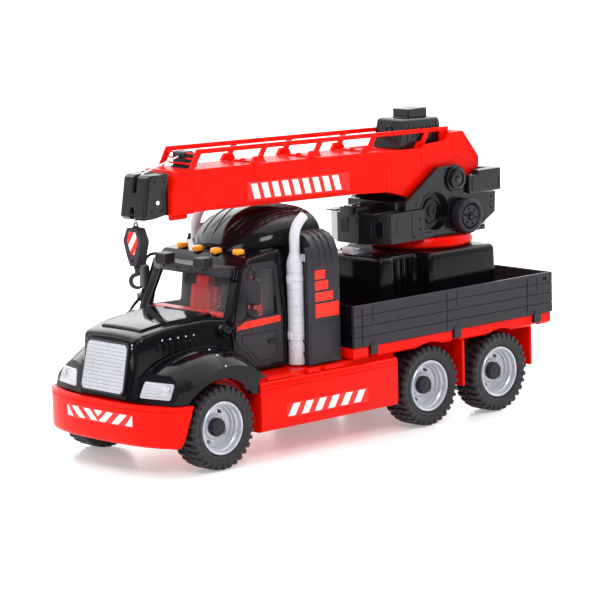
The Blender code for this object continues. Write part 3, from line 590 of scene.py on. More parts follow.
def hub_mesh():
    """The raised rings and clips on a hub cap's face."""
    parts = [turned([(8.0, 8.0), (8.0, 8.45), (7.3, 8.6), (6.9, 8.3), (6.9, 8.0)], steps=48, ring=True)]
    parts.append(turned([(0, 8.0), (3.0, 8.0), (3.0, 8.5), (2.4, 8.8), (0, 8.9)], steps=32))
    for k in range(5):
        turn = 2 * math.pi * k / 5
        centre = (5.0 * math.cos(turn), 0, 5.0 * math.sin(turn))
        parts.append(turned([(0, 8.0), (0.75, 8.0), (0.75, 8.5), (0, 8.6)], centre, steps=6))
    return joined(*parts)


def to_mesh(bm, look):
    """A mesh about its own origin, for pieces that share it."""
    bmesh.ops.recalc_face_normals(bm, faces=bm.faces)
    for vert in bm.verts:
        vert.co *= MM
    mesh = bpy.data.meshes.new(look)
    bm.to_mesh(mesh)
    bm.free()
    mesh.materials.append(MATS[look])
    return mesh


def wheels():
    left_rim = rim_mesh()
    left_hub = hub_mesh()
    meshes = {
        ("left", "rim"): ("silver", to_mesh(left_rim.copy(), "silver")),
        ("right", "rim"): ("silver", to_mesh(mirrored(left_rim), "silver")),
        ("left", "hub_detail"): ("satin", to_mesh(left_hub.copy(), "satin")),
        ("right", "hub_detail"): ("satin", to_mesh(mirrored(left_hub), "satin")),
    }
    left_rim.free()
    left_hub.free()
    tread = to_mesh(tyre_mesh(), "rubber")
    for axle, x in AXLES.items():
        for side, sign in (("left", 1), ("right", -1)):
            at = (x, WHEEL_Y * sign, WHEEL_Z)
            prefix = f"{axle}_{side}"
            body = f"{axle}_wheels"
            mount(f"{prefix}_tread", tread, body, 0, 30, (f"{prefix}_tyre",), at)
            look, mesh = meshes[(side, "rim")]
            mount(f"{prefix}_dish", mesh, body, 0, 28, (f"{prefix}_rim",), at)
            look, mesh = meshes[(side, "hub_detail")]
            mount(f"{prefix}_hub_detail", mesh, body, 0, 30, (), at)
    dress("front_axle mid_axle rear_axle", "satin", 0.5)


# ---------------------------------------------------------------- bumper and skirts

BUMPER_FRONT = curve_through([(74.75, 0), (73.95, 34), (70.3, 62), (63.4, 83), (54, 96)], 7)


def bumper_x(y):
    """X of the bumper's front face at a distance y from the middle."""
    y = abs(y)
    for a, b in zip(BUMPER_FRONT, BUMPER_FRONT[1:]):
        if a.y <= y <= b.y:
            return a.x + (b.x - a.x) * (y - a.y) / (b.y - a.y)
    return BUMPER_FRONT[-1].x


def patch(corners, surface, low, high, steps=1):
    """A thin four-cornered plate laid on surface(a, b, t), from corner 0-1 below to 3-2 above."""
    (a0, b0), (a1, b1), (a2, b2), (a3, b3) = corners
    loops = []
    for k in range(steps + 1):
        t = k / steps
        under = (a0 + (a1 - a0) * t, b0 + (b1 - b0) * t)
        over = (a3 + (a2 - a3) * t, b3 + (b2 - b3) * t)
        loops.append([surface(*under, low), surface(*under, high), surface(*over, high), surface(*over, low)])
    return loft(loops)


def bumper():
    levels = [
        (28, 3.4), (28.6, 1.9), (30, 0.7), (32.5, 0), (40, 0), (52, 0), (64.2, 0), (64.5, 0.7),
        (65.3, 0.7), (65.6, 0), (68.9, 0), (69.5, 0.5),
    ]
    inner_face = [(50.5, 88.5), (58, 77.5), (65, 58), (69.5, 32), (70, 0)]
    loops = []
    for z, cut in levels:
        end = 51.8 - 0.287 * (z - 20) + 3.5 * max(0.0, (36 - z) / 8) ** 2
        half = [(p.x - cut, p.y * (1 - cut / 100)) for p in BUMPER_FRONT]
        half += [(end + 1.0, 96 - cut * 0.9 + (53 - end) * 0.36), (end, 95.2 - cut * 0.9 + (53 - end) * 0.36)]
        half += [(end, 88.5 + (50.5 - end) * 0.35)] + inner_face
        around = half + [(x, -y) for x, y in reversed(half[1:-1])]
        loops.append([(x, y, z) for x, y in around])
    piece("bumper_cover", loft(loops), "red", edge=0, smooth=32, replaces=("bumper",))

    def front(y, z, t):
        return (bumper_x(y) + t, y, z)

    film = patch(rect((-50, 50), (46.8, 59.6)), front, 0.03, 0.10, 20)
    piece("bumper_sticker_film", film, "red_trim", edge=0)
    shapes = []
    for sign in (1, -1):
        for start in (6.5, 25.5):
            corners = [(start - 5.5, 48), (start + 4.0, 48), (start + 16.0, 58.5), (start + 6.5, 58.5)]
            shapes.append(patch([(y * sign, z) for y, z in corners], front, 0.05, 0.22, 4))
        corners = [(39.5, 48), (48.8, 48), (48.8, 58.4), (48.3, 58.4)]
        shapes.append(patch([(y * sign, z) for y, z in corners], front, 0.05, 0.22, 1))
    shapes.append(patch([(-0.6, 53), (0.6, 53), (6.2, 58.7), (-6.2, 58.7)], front, 0.05, 0.22, 2))
    piece("bumper_chevrons", joined(*shapes), "white", edge=0)


def skirts():
    outline = [
        (36, 30), (97.4, 29), (100.4, 29.9), (102, 33), (102, 71.2), (101.3, 71.5), (101.3, 72.1),
        (102, 72.4), (102, 74), (101.7, 76.4), (100.6, 78.3), (98.8, 79.3), (96, 79.5), (95.4, 80.1),
        (94.5, 83.6), (36, 83.6),
    ]
    cover = prism(outline, "x", -241, -50.3)
    edges = [
        e for e in cover.edges
        if e.verts[0].co.y > 97 and e.verts[1].co.y > 97 and abs(e.verts[0].co.x - e.verts[1].co.x) < 0.1
    ]
    bmesh.ops.bevel(cover, geom=edges, offset=6.5, offset_type="OFFSET", segments=5, profile=0.5,
                    affect="EDGES", clamp_overlap=True)
    pair("skirt_cover", cover, "red", replaces="{side}_side_skirt", edge=0, smooth=32)

    def side(x, z, t):
        return (x, 102 + t, z)

    film = patch(rect((-198, -84), (39.8, 54.2)), side, 0.03, 0.10)
    pair("skirt_sticker_film", film, "red_trim", edge=0)
    shapes = []
    for k in range(6):
        x = -86.0 - 18.2 * k
        corners = [(x - 9.5, 41), (x, 41), (x - 7.5, 53), (x - 17.0, 53)]
        shapes.append(patch(corners, side, 0.05, 0.22))
    pair("skirt_stripes", joined(*shapes), "white", edge=0)
    steps = [
        box((-100, -62), (96.4, 99.4), (80.1, 83.2)),
        box((-132, -116), (95.6, 100.2), (79.8, 84.2)),
        box((-166, -140), (95.6, 99.0), (79.8, 83.6)),
    ]
    pair("skirt_step_blocks", joined(*steps), "red", edge=0.5)


# ---------------------------------------------------------------- bed


def board_profile(out_y, in_y):
    """A board's section with a groove between planks on each face and a rail along the top."""
    low, high = BOARD_LOW, BOARD_TOP
    outer = [(out_y - 0.5, low), (out_y, low + 0.5)]
    inner = [(in_y + 0.5, low), (in_y, low + 0.5)]
    for z in PLANK_Z:
        for side, face in ((outer, -1), (inner, 1)):
            y = out_y if face < 0 else in_y
            side += [(y, z - 0.55), (y + 0.7 * face, z - 0.2), (y + 0.7 * face, z + 0.2), (y, z + 0.55)]
    outer += [(out_y, high - 0.6), (out_y - 0.5, high)]
    inner += [(in_y, high - 0.6), (in_y + 0.5, high)]
    return outer + list(reversed(inner))


def bed():
    dress("bed_frame", "red", 0.5)
    board = prism(board_profile(103.4, 100.1), "x", -473.9, -178.1)
    cuts = []
    for x in (-190.0, -313.0, -435.0):
        cuts.append(box((x - 0.6, x + 0.6), (102.5, 104), (97.5, 136.5)))
        cuts.append(box((x - 15.5, x - 14.5), (102.7, 104), (121, 136)))
    cuts.append(box((-465, -459.5), (101.6, 104), (131.8, 135.4)))
    board = minus(board, joined(*cuts))
    parts = [board]
    for x in CLIP_X:
        clip = [
            (99.2, 87.6), (103.7, 87.6), (104.3, 88.2), (104.6, 90), (104.6, 97.0), (104.2, 97.6),
            (102, 98.6), (99.2, 99),
        ]
        parts.append(prism(clip, "x", x - 5, x + 5))
        parts.append(box((x - 3.4, x + 3.4), (103.2, 104.0), (98, 100.6)))
    pair(
        "plank_board", union(*parts), "satin", "{side}_board", replaces="{side}_side_board", edge=0,
        smooth=28,
    )
    latch = joined(
        box((-464.6, -459.9), (101.7, 102.6), (132.9, 134.3)),
        tube([(-462.2, 101.0, 133.6), (-462.2, 103.2, 133.6)], [1.0, 0.8], 12),
    )
    pair("board_latch", latch, "rubber", "{side}_board", edge=0)

    gate = prism(board_profile(-470.6, -473.9), "y", -99.7, 99.7)
    ribs = []
    for y in (-66.0, 66.0):
        clip = [(-470, 87.6), (-473.8, 87.6), (-474, 90), (-474, 97.6), (-470, 99)]
        ribs.append(prism(clip, "y", y - 5, y + 5))
    gate = union(gate, *ribs)
    cuts = [box((-474.6, -473.2), (y - 0.6, y + 0.6), (100, 136)) for y in (-80, -52, 52, 80)]
    piece(
        "plank_tailgate", minus(gate, joined(*cuts)), "satin", "tail_board", edge=0, smooth=28,
        replaces=("tailgate",),
    )
    panel = prism(board_profile(-179.4, -182.4), "y", -99.5, 99.5)
    piece("bed_headboard", panel, "gloss", edge=0, smooth=28, replaces=("bed_front_panel",))
    slats = []
    for y in range(-90, 91, 12):
        slats.append(box((-469.5, -263), (y - 0.35, y + 0.35), (94.8, 95.3)))
        slats.append(box((-261, -187), (y - 0.35, y + 0.35), (96.5, 96.9)))
    piece("bed_floor_ribs", joined(*slats), "red_trim", edge=0)
    plates = [box((-473.3, -471.8), (y - 8, y + 8), (86, 93.6)) for y in (-88, 88)]
    piece("bed_rear_plates", joined(*plates), "red_trim", edge=0.5)
    dome = [(0, -473.95), (2.2, -473.9), (2.8, -473.2), (0, -473.2)]
    for side, middle in (("right", -88), ("left", 88)):
        lamps = [turned(dome, (0, y, 89.8), "x", 24) for y in (middle - 4, middle + 4)]
        piece(f"tail_lamps_{side}", joined(*lamps), "signal", edge=0, smooth=50)


# ---------------------------------------------------------------- hood and fenders

HOOD = [
    ([67.7, 61.8, 57.1, 55.8, 55.4], [(34.5, 72), (34, 100), (33.5, 122), (31, 128), (0, 129.5)]),
    ([52, 52, 51, 50, 49.5], [(45, 72), (44.5, 100), (43, 127.5), (37, 132.5), (0, 134)]),
    ([20, 20, 20, 20, 20], [(52, 86), (51.5, 110), (48, 131.5), (44, 138.2), (0, 139.2)]),
    ([-18, -18, -18, -18, -18], [(64, 86), (60, 115), (53, 134), (48, 141), (0, 142)]),
    ([-41.6, -41.6, -41.6, -41.6, -41.6], [(71, 86), (70.5, 116), (64, 134.5), (57, 141), (0, 142.5)]),
]
HOOD_LINES = [
    curve_through([(xs[i], half[i][0], half[i][1]) for xs, half in HOOD], 9) for i in range(5)
]


def hood_half(k):
    """Station k of the hood, from its lower side up over the shoulder to the middle."""
    low, side, under, over, top = [line[k] for line in HOOD_LINES]
    corner = Vector((under.x, under.y * 0.985, over.z * 0.997))
    points = [low, low.lerp(side, 0.5), side, side.lerp(under, 0.6)]
    for t in (0, 0.25, 0.5, 0.75, 1):
        points.append(under * (1 - t) ** 2 + corner * 2 * t * (1 - t) + over * t ** 2)
    for t in (0.8, 0.6, 0.4, 0.2, 0):
        points.append(Vector((top.x + (over.x - top.x) * t, over.y * t, top.z - (top.z - over.z) * t ** 2)))
    return points


def hood_top(x, y):
    """Height of the hood's top at a place."""
    over, top = HOOD_LINES[3], HOOD_LINES[4]
    for k in range(len(top) - 1):
        if top[k].x >= x >= top[k + 1].x:
            t = (top[k].x - x) / (top[k].x - top[k + 1].x)
            edge, middle = over[k].lerp(over[k + 1], t), top[k].lerp(top[k + 1], t)
            return middle.z - (middle.z - edge.z) * (y / edge.y) ** 2
    return top[-1].z


def hood_side(x, z):
    """Half width of the hood's side at a place."""
    side, under = HOOD_LINES[1], HOOD_LINES[2]
    for k in range(len(side) - 1):
        if side[k].x >= x >= side[k + 1].x:
            t = (side[k].x - x) / (side[k].x - side[k + 1].x)
            low, high = side[k].lerp(side[k + 1], t), under[k].lerp(under[k + 1], t)
            return low.y + (high.y - low.y) * min(1.0, (z - low.z) / (high.z - low.z))
    return side[-1].y


def arches():
    """Cutters for the left and the right front wheel arch."""
    cuts = []
    for low, high in ((29.5, 115), (-115, -29.5)):
        outline = []
        for k in range(49):
            turn = math.pi * k / 48
            outline.append((ARCH_RADIUS * math.cos(turn), WHEEL_Z + ARCH_RADIUS * math.sin(turn)))
        cuts.append(prism(outline + [(-ARCH_RADIUS, 20), (ARCH_RADIUS, 20)], "y", low, high))
    return cuts


def lamp_plane(y, z):
    """X of the slanting front that the fender and the headlight share."""
    lean = 0.22 + 0.0072 * min(max(y - 48, 0), 36)
    return 61.0 - 0.222 * (y - 48) - lean * (z - 75)


FENDER = curve_through([
    (-61, 76, 88, 98.5, 84.6), (-52, 75, 99, 99.5, 90), (-40, 74, 109.5, 100, 97),
    (-25, 72, 116, 100.3, 101), (-10, 67, 117.5, 100.5, 102), (5, 61, 116.5, 100.5, 100),
    (18, 56, 113.5, 100.3, 95), (30, 52, 109.5, 98.5, 89), (41, 50, 104.5, 95, 84),
    (51, 49, 99, 90, 81), (58, 48, 94, 86, 77), (65, 47, 86, 80, 73),
], 4)


def fender_point(station, t):
    """A point on a fender's curved skin, from its crest at t 0 to its outer side at 1."""
    x, crest_y, crest_z, outer_y, outer_z = station
    return (x, crest_y + (outer_y - crest_y) * t, crest_z - (crest_z - outer_z) * t ** 2.2)


def fender():
    loops = []
    for station in FENDER:
        x, crest_y, crest_z, outer_y, outer_z = station
        loop = [
            (x, 36, 70), (x, 36, crest_z - 2), (x, crest_y - 3, crest_z - 0.9),
            (x, crest_y - 1.2, crest_z - 0.2),
        ]
        loop += [fender_point(station, k / 12) for k in range(13)]
        loop.append((x, outer_y, outer_z - 2))
        loops.append(loop + [(x, outer_y, 70)])
    cuts = []
    for y in (20, 48, 54, 60, 66, 72, 78, 84, 120):
        cuts.append([(lamp_plane(y, 50), y, 50), (lamp_plane(y, 130), y, 130), (120, y, 130), (120, y, 50)])
    return minus(
        loft(loops), loft(cuts), box((-90, -41.6), (0, 72.3), (60, 130)),
        box((-90, -50), (0, 110), (60, 84.1)), arches()[0], lamp_body(0.3, 3.0),
    )


LAMP = [(48, 74.5), (84, 75), (83, 90), (51.5, 91)]
LAMP_PUSH = Vector((0.963, 0.214, 0.162))


def lamp_point(u, v, depth):
    """A point on the left headlight, u across it outwards and v up it."""
    low = Vector(LAMP[0]).lerp(Vector(LAMP[1]), u)
    high = Vector(LAMP[3]).lerp(Vector(LAMP[2]), u)
    y, z = low.lerp(high, v)
    return Vector((lamp_plane(y, z), y, z)) + LAMP_PUSH * depth


def lamp_body(grow, out):
    """The space a headlight takes up, grown by a margin in millimetres."""
    e = grow / 30
    ends = ((-e, -2 * e), (1 + e, -2 * e), (1 + e, 1 + 2 * e), (-e, 1 + 2 * e))
    return loft([[lamp_point(u, v, depth) for u, v in ends] for depth in (-4.4, out)])


def lamp_lens():
    """Horizontal louvres with rounded corners, and a round reflector at the outer end."""
    loops = []
    rows = []
    for k in range(6):
        rows += [(k / 6 + 0.012, 0.55), (k / 6 + 0.13, 1.25), (k / 6 + 0.155, 0.55)]
    for v, out in [(0.0, 0.2)] + rows + [(1.0, 0.2)]:
        cut = 0.035 * max(0.0, abs(v - 0.5) * 2 - 0.72) / 0.28
        loops.append([
            lamp_point(cut, v, -3.6), lamp_point(cut, v, out), lamp_point(0.5, v, out + 0.15),
            lamp_point(1 - cut, v, out), lamp_point(1 - cut, v, -3.6),
        ])
    return loft(loops)


def hood():
    loops = []
    for k in range(len(HOOD_LINES[0])):
        left = hood_half(k)
        loops.append(left + [Vector((p.x, -p.y, p.z)) for p in reversed(left[:-1])])
    piece("hood_cover", minus(loft(loops), *arches()), "gloss", edge=0, smooth=30, replaces=("hood",))
    pair("fender_flare", fender(), "gloss", edge=0, smooth=34)

    rows = []
    for x in [41.6, 41, 38] + [36 - 4 * k for k in range(19)] + [-39.0, -40.8]:
        half = 28.5 + (42.5 - x) * 0.145
        lift = 2.1 if x < 41.3 else 1.6
        section = [(half + 1.2, -0.3), (half + 0.9, 0.9)]
        section += [(half * t, lift) for t in (1, 0.75, 0.5, 0.25, 0)]
        row = [(x, y, hood_top(x, y) + up) for y, up in section]
        right = [(x, -y, z) for x, y, z in reversed(row[:-1])]
        rows.append(row + right + [(x, 0, hood_top(x, 0) - 0.8)])
    piece("hood_panel", loft(rows), "gloss", edge=0, smooth=40)

    crest = [fender_point(s, 0.0) for s in FENDER if -60 < s[0] < 52]
    crest = [Vector(p) + Vector((0, 0.4, 0.05)) for p in crest]
    pair("fender_bead", tube(crest, 0.75, 10), "gloss", edge=0)
    second = [Vector(fender_point(s, 0.22)) + Vector((0, 0, 0.05)) for s in FENDER if -59 < s[0] < -6]
    pair("fender_rear_bead", tube(second, 0.5, 8), "gloss", edge=0)

    rivets = []
    for k in range(5):
        x = 29.5 - 9.2 * k
        z = 127.2 + (29.5 - x) * 0.03
        head = turned(
            [(0, -0.5), (1.1, -0.5), (1.0, 0.5), (0.5, 0.9), (0, 1.0)], (x, hood_side(x, z), z), "y", 12,
        )
        rivets.append(head)
    for t, x in ((0.30, -8), (0.62, -8), (0.97, -8)):
        station = min(FENDER, key=lambda s: abs(s[0] - x))
        p = Vector(fender_point(station, t))
        rivets.append(moved(turned([(0, -0.2), (1.1, -0.2), (0.9, 0.6), (0, 0.9)], axis="z", steps=12),
                            Matrix.Translation(p) @ Matrix.Rotation(math.radians(-25 - 60 * t), 4, "X")))
    pair("hood_rivets", joined(*rivets), "silver", edge=0, smooth=50)
    fins = []
    for k in range(7):
        x = 33 - 7.0 * k
        loops = []
        for z, out in ((112, 0.0), (114, 0.9), (123, 0.9), (124.5, 0.0)):
            y = hood_side(x, z)
            loops.append(
                [(x + 1.1, y - 1.5, z), (x - 1.1, y - 1.5, z), (x - 1.1, y + out, z), (x + 0.3, y + out, z)]
            )
        fins.append(loft(loops))
    pair("hood_side_vents", joined(*fins), "gloss", edge=0.3)
    pair("headlight_lens", lamp_lens(), "silver", replaces="{side}_headlight", edge=0, smooth=30)
    reflector = turned(
        [(6.2, -0.6), (6.2, 0.9), (5.7, 1.3), (5.0, 0.7), (0, 0.1), (0, -0.6)], axis="x", steps=32,
    )
    bmesh.ops.scale(reflector, vec=(1, 0.72, 1), verts=reflector.verts)
    aim = LAMP_PUSH.to_track_quat("X", "Z").to_matrix().to_4x4()
    moved(reflector, Matrix.Translation(lamp_point(0.80, 0.5, 0.9)) @ aim)
    pair("headlight_reflector", reflector, "silver", edge=0, smooth=40)

    def nose(y, z, t):
        return (57.0 + (124 - z) * 0.2124 + t, y, z)

    outline = rounded([(-32.6, 75.4), (32.6, 75.4), (31.4, 126.0), (-31.4, 126.0)], 6.0)
    opening = rounded([(-31.2, 77.0), (31.2, 77.0), (29.9, 124.4), (-29.9, 124.4)], 5.0)
    piece("grille_surround", hoop(outline, opening, nose, 0.1, 2.6), "satin", edge=0.3)
    slats = 13
    foot, head = 77.2, 124.2
    levels = []
    for k in range(slats):
        for share, out in ((0.0, 2.2), (0.06, 2.75), (0.88, 2.55), (0.94, 2.2)):
            levels.append((foot + (head - foot) * (k + share) / slats, out))
    levels.append((head, 2.2))
    solid = []
    for z, out in levels:
        half = 31.1 - (z - 77) * 0.0275
        gap = min(z - foot, head - z)
        if gap < 5:
            half -= 5 - math.sqrt(25 - (5 - gap) ** 2)
        solid.append([nose(-half, z, 0.2), nose(-half, z, out), nose(half, z, out), nose(half, z, 0.2)])
    piece("grille_slats", loft(solid), "silver", edge=0, smooth=25, replaces=("grille",))
    studs = [stud(0, 1.2, 0.8, 1.2, (56.6, 33.4, 124.5 - 3.2 * k), steps=12) for k in range(2)]
    piece("grille_studs", joined(*studs), "silver", edge=0, smooth=50)


# ---------------------------------------------------------------- cab


def windshield(y, z, t):
    """The windshield's outer plane."""
    return (-42.0 - (z - CAB_BELT) * 0.402 + t, y, z)


def cab_side(x, z, t):
    """The cab's left side, which leans in above the belt line."""
    return (x, 72.0 - max(0.0, z - CAB_BELT) * 0.0968 + t, z)


def flank(x, z, t):
    """The sleeper's left side."""
    return (x, 91.0 + t, z)


def cab():
    dress("cab_shell", "gloss", 0.8)
    dress("interior", "red_trim", 0.8)
    dress("steering_wheel", "satin", 0.0)
    dress("sleeper", "satin", 0.9)
    dress("sun_visor", "satin", 0.7)
    dress("cab_glazing", "glass", 0.0)

    opening = rounded([(-57, 140.5), (57, 140.5), (51.5, 178.8), (-51.5, 178.8)], 4)
    piece(
        "windshield_seal", hoop(shrunk(opening, -1.6), shrunk(opening, 0.3), windshield, -0.3, 0.8), "satin",
        edge=0.25,
    )
    window = rounded([(-61, 140), (-69.4, 186), (-103.5, 185), (-102, 139)], 3)
    pair(
        "door_window_seal", hoop(shrunk(window, -1.5), shrunk(window, 0.3), cab_side, -0.3, 1.1), "satin",
        edge=0.25,
    )
    lower = [
        (-45, 120), (-45, 137.9), (-107, 137.9), (-107, 90.5), (-74, 90.5), (-68, 97), (-60, 106), (-50, 114),
    ]
    upper = [(-45, 138.1), (-61.5, 187), (-69, 192.5), (-103, 192.5), (-107, 188), (-107, 138.1)]
    upper = minus(prism(upper, cab_side, 0.0, 0.5), prism(shrunk(window, -1.2), "y", 50, 90))
    pair("door_skin", joined(prism(lower, cab_side, 0.0, 0.5), upper), "satin", edge=0, smooth=25)
    pair(
        "door_strip",
        patch([(-106, 131.7), (-45.5, 129.2), (-45.5, 136.6), (-106, 137.8)], cab_side, 0.45, 0.62, 1),
        "signal", edge=0,
    )
    handle = joined(
        prism(rect((-100, -88), (110, 116), 2.2), cab_side, 0.3, 0.9),
        prism(rect((-99, -89), (112, 114.2), 1.0), cab_side, 0.9, 2.2),
    )
    pair("door_handle", handle, "gloss", edge=0.3)
    lower = hoop(
        rounded([(-101, 94), (-76, 94), (-66, 104), (-52, 117), (-52, 124), (-101, 124)], 3),
        rounded(
            [(-99.8, 95.2), (-76.6, 95.2), (-67, 105), (-53.2, 117.8), (-53.2, 122.8), (-99.8, 122.8)], 2.4,
        ),
        cab_side, 0.4, 0.8,
    )
    pair("door_press_line", lower, "gloss", edge=0.2)
    hinges = [
        tube([cab_side(-45.6, z, 0.9), cab_side(-45.6, z + 6, 0.9)], 1.1, 12) for z in (122, 130)
    ]
    pair("door_hinges", joined(*hinges), "satin", edge=0.2)

    wipers = []
    for y in (34.0, -27.0):
        pivot = Vector(windshield(y, 141.8, 1.2))
        wipers.append(turned([(0, -1.5), (2.6, -1.5), (2.6, 1.2), (1.6, 2.0), (0, 2.2)], pivot, "x", 20))
        ends = [pivot + Vector((1.2, 0, 0)), Vector(windshield(y - 17, 142.6, 1.7))]
        wipers.append(tube(ends, [1.0, 0.6], 10))
        blade = [(y - 4, 141.6), (y - 28, 143.4), (y - 28.2, 142.2), (y - 4.2, 140.4)]
        wipers.append(prism(blade, windshield, 0.9, 1.7))
    piece("wipers", joined(*wipers), "satin", edge=0)
    louvres = [box((-38.5, -37.3), (-26, 26), (142.0, 145.2)), box((-36.3, -35.1), (-23, 23), (142.0, 145.1))]
    piece("cowl_louvres", joined(*louvres), "satin", edge=0.3)

    for name, y in (("left", 28.5), ("right", -28.5)):
        lens = prism(rect((y - 6.2, y + 6.2), (189, 197.6), 2), "x", -38.0, -37.2)
        rim = hoop(
            rect((y - 7.4, y + 7.4), (188, 198.7), 2.6),
            rect((y - 6.2, y + 6.2), (189, 197.6), 2), "x", -38.4, -36.6,
        )
        piece(f"{name}_spot_rim", rim, "satin", edge=0.3)
        piece(f"{name}_spot_lens", lens, "gloss", edge=0.2)
    dome = [(0, 0), (1.4, 0), (1.2, 0.9), (0.5, 1.3), (0, 1.4)]
    studs = [turned(dome, (-43.0, y, 185.5), "x", 14) for y in (-30, -10, 10, 30)]
    piece("visor_studs", joined(*studs), "gloss", edge=0, smooth=50)
    clips = []
    for k in range(4):
        x, y = -55.0 - 2.6 * k, 60.5 + 1.4 * k
        clips.append(tube([(x, y, 178), (x - 3, y - 1, 187.5)], 0.9, 10))
    pair("visor_side_clips", joined(*clips), "gloss", edge=0)

    lights = []
    for x, y in ((-79.0, -42.3), (-74.5, -13.9), (-74.5, 13.9), (-79.0, 42.3)):
        base = 199.2 if x > -76 else 199.8
        profile = [
            (0, 192), (2.9, 192), (2.9, base), (6.1, base), (6.3, base + 0.5), (6.3, base + 1.1),
            (5.7, base + 1.3), (5.7, base + 1.6), (6.0, base + 1.8), (5.9, base + 3.2),
            (5.2, base + 4.2), (3.6, base + 4.8), (0, base + 5.0),
        ]
        lights.append(turned(profile, (x, y, 0), "z", 40))
    lights.append(box((-83, -72.6), (-47, 47), (190.8, 193.6)))
    piece("beacon_lenses", joined(*lights), "orange", edge=0, smooth=38, replaces=("roof_lights",))

    mirrors()
    sleeper_details()
    fairing()
    stacks()
    interior_details()


def mirrors():
    arm = curve_through([
        (-33, 74, 131.5), (-37, 78, 134.5), (-46, 82, 139.5), (-56, 82, 148), (-62, 82, 162),
        (-62.5, 82, 182), (-66, 77.5, 189.5), (-69, 67.0, 191.5),
    ], 6)
    parts = [tube(arm, 1.6, 14)]
    parts.append(turned(
        [
            (0, 62.6), (2.6, 62.6), (2.6, 70), (4.4, 70.4), (4.9, 71.6), (4.9, 73.4), (4.3, 75.4),
            (2.8, 76.8), (0, 77.3),
        ],
        (-33, 0, 131.5), steps=28,
    ))
    parts.append(
        turned(
            [(6.0, 66.8), (6.2, 70.2), (5.6, 71.0), (5.0, 71.0), (5.0, 66.8)], (-33, 0, 131.5), steps=28,
            ring=True,
        )
    )
    for z in (158, 176):
        parts.append(
            turned(
                [(2.6, z - 1.6), (2.6, z + 1.6), (1.5, z + 1.9), (1.5, z - 1.9)], (-62.2, 82, 0), "z", 16,
                ring=True,
            )
        )
    pair("mirror_arm", joined(*parts), "gloss", replaces="{side}_mirror", edge=0, smooth=40)
    shells = []
    for front, back, outline in (
        (-63.8, -58.1, rect((73.5, 90.5), (154, 180), 4.0)),
        (-58.8, -54.2, rect((75.5, 89), (141.5, 150.5), 3.0)),
    ):
        loops = []
        for t, cut in ((0, 0.3), (0.08, 0.0), (0.6, 0.3), (0.88, 1.2), (1.0, 3.0)):
            loops.append([(front + (back - front) * t, y, z) for y, z in shrunk(outline, cut)])
        shells.append(loft(loops))
    swing = Matrix.Rotation(MIRROR_SWING, 4, "Z")
    swing = Matrix.Translation(MIRROR_POST) @ swing @ Matrix.Translation(-MIRROR_POST)
    pair("mirror_shell", moved(joined(*shells), swing), "satin", edge=0, smooth=42)
    faces = [
        prism(rect((75, 89), (155.5, 178.5), 3), "x", -64.1, -63.6),
        prism(rect((77, 87.5), (143, 149), 2), "x", -59.1, -58.6),
    ]
    pair("mirror_face", moved(joined(*faces), swing), "silver", edge=0.1)


def sleeper_details():
    bars = []
    for low, high, rear in ((171, 180, -151), (160, 169, -155), (148.5, 157.5, -161.6), (132, 146, -169.5)):
        bars.append(prism([(-137, low), (-137, high), (rear, high), (rear, low)], flank, 0.02, 0.2))
    pair("sleeper_bars", joined(*bars), "signal", edge=0)
    panels = [
        hoop(rect((-129.5, -168.5), (89, 126), 3),
             rect((-130.6, -167.4), (90.1, 124.9), 2.4), flank, 0.0, 0.4),
        box((-170.4, -128.4), (90.6, 91.3), (128.4, 129.2)),
        box((-170.4, -128.4), (90.6, 91.3), (184.2, 185.0)),
    ]
    pair("sleeper_panel_lines", joined(*panels), "satin", edge=0.15)
    ribs = []
    shoulder = [(90.9, 186), (89.1, 198), (84.9, 207.5), (77.9, 214), (66.9, 217)]
    for x in (-146, -154, -162):
        ribs.append(tube(curve_through([(x, y, z) for y, z in shoulder], 5), 0.7, 8))
    pair("sleeper_top_ribs", joined(*ribs), "satin", edge=0)
    # Two small tabs on a bracket at the top of the sleeper's front edge; their light silver colour is a
    # painted highlight that stands for reflections on the bracket.
    highlight_tabs = [box((-129.2, -126.6), (y, y + 1.8), (190, 197.5)) for y in (82.6, 86.0)]
    pair("sleeper_highlight_tabs", joined(*highlight_tabs), "silver", edge=0.4)
    rungs = [box((-128.4, -126.4), (70, 88), (z, z + 2.2)) for z in (96, 108)]
    pair("sleeper_rungs", joined(*rungs), "satin", edge=0.4)
    back = []
    for y in (-56, 0, 56):
        outline = rect((y - 24, y + 24), (110, 176), 4)
        back.append(hoop(outline, shrunk(outline, 1.4), "x", -171.7, -170.9))
    for z in range(120, 172, 7):
        back.append(box((-171.6, -170.9), (-18, 18), (z, z + 2)))
    piece("sleeper_rear_panels", joined(*back), "satin", edge=0.25)


FAIRING = curve_through([
    (-83, 20, 206), (-88, 31, 211.5), (-95, 41, 217.5), (-106, 51, 224.5), (-122, 59.5, 231.5),
    (-144, 65.5, 236.3), (-171, 67, 238),
], 5)


def fairing_z(x, y):
    """Height of the fairing's skin."""
    for a, b in zip(FAIRING, FAIRING[1:]):
        if a[0] >= x >= b[0]:
            s = a.lerp(b, (a[0] - x) / (a[0] - b[0]))
            across = min(1.0, abs(y) / s[1])
            turn = math.acos(across ** (1 / 0.62))
            return 194 + (s[2] - 194) * math.sin(turn) ** 0.62
    return 238.0


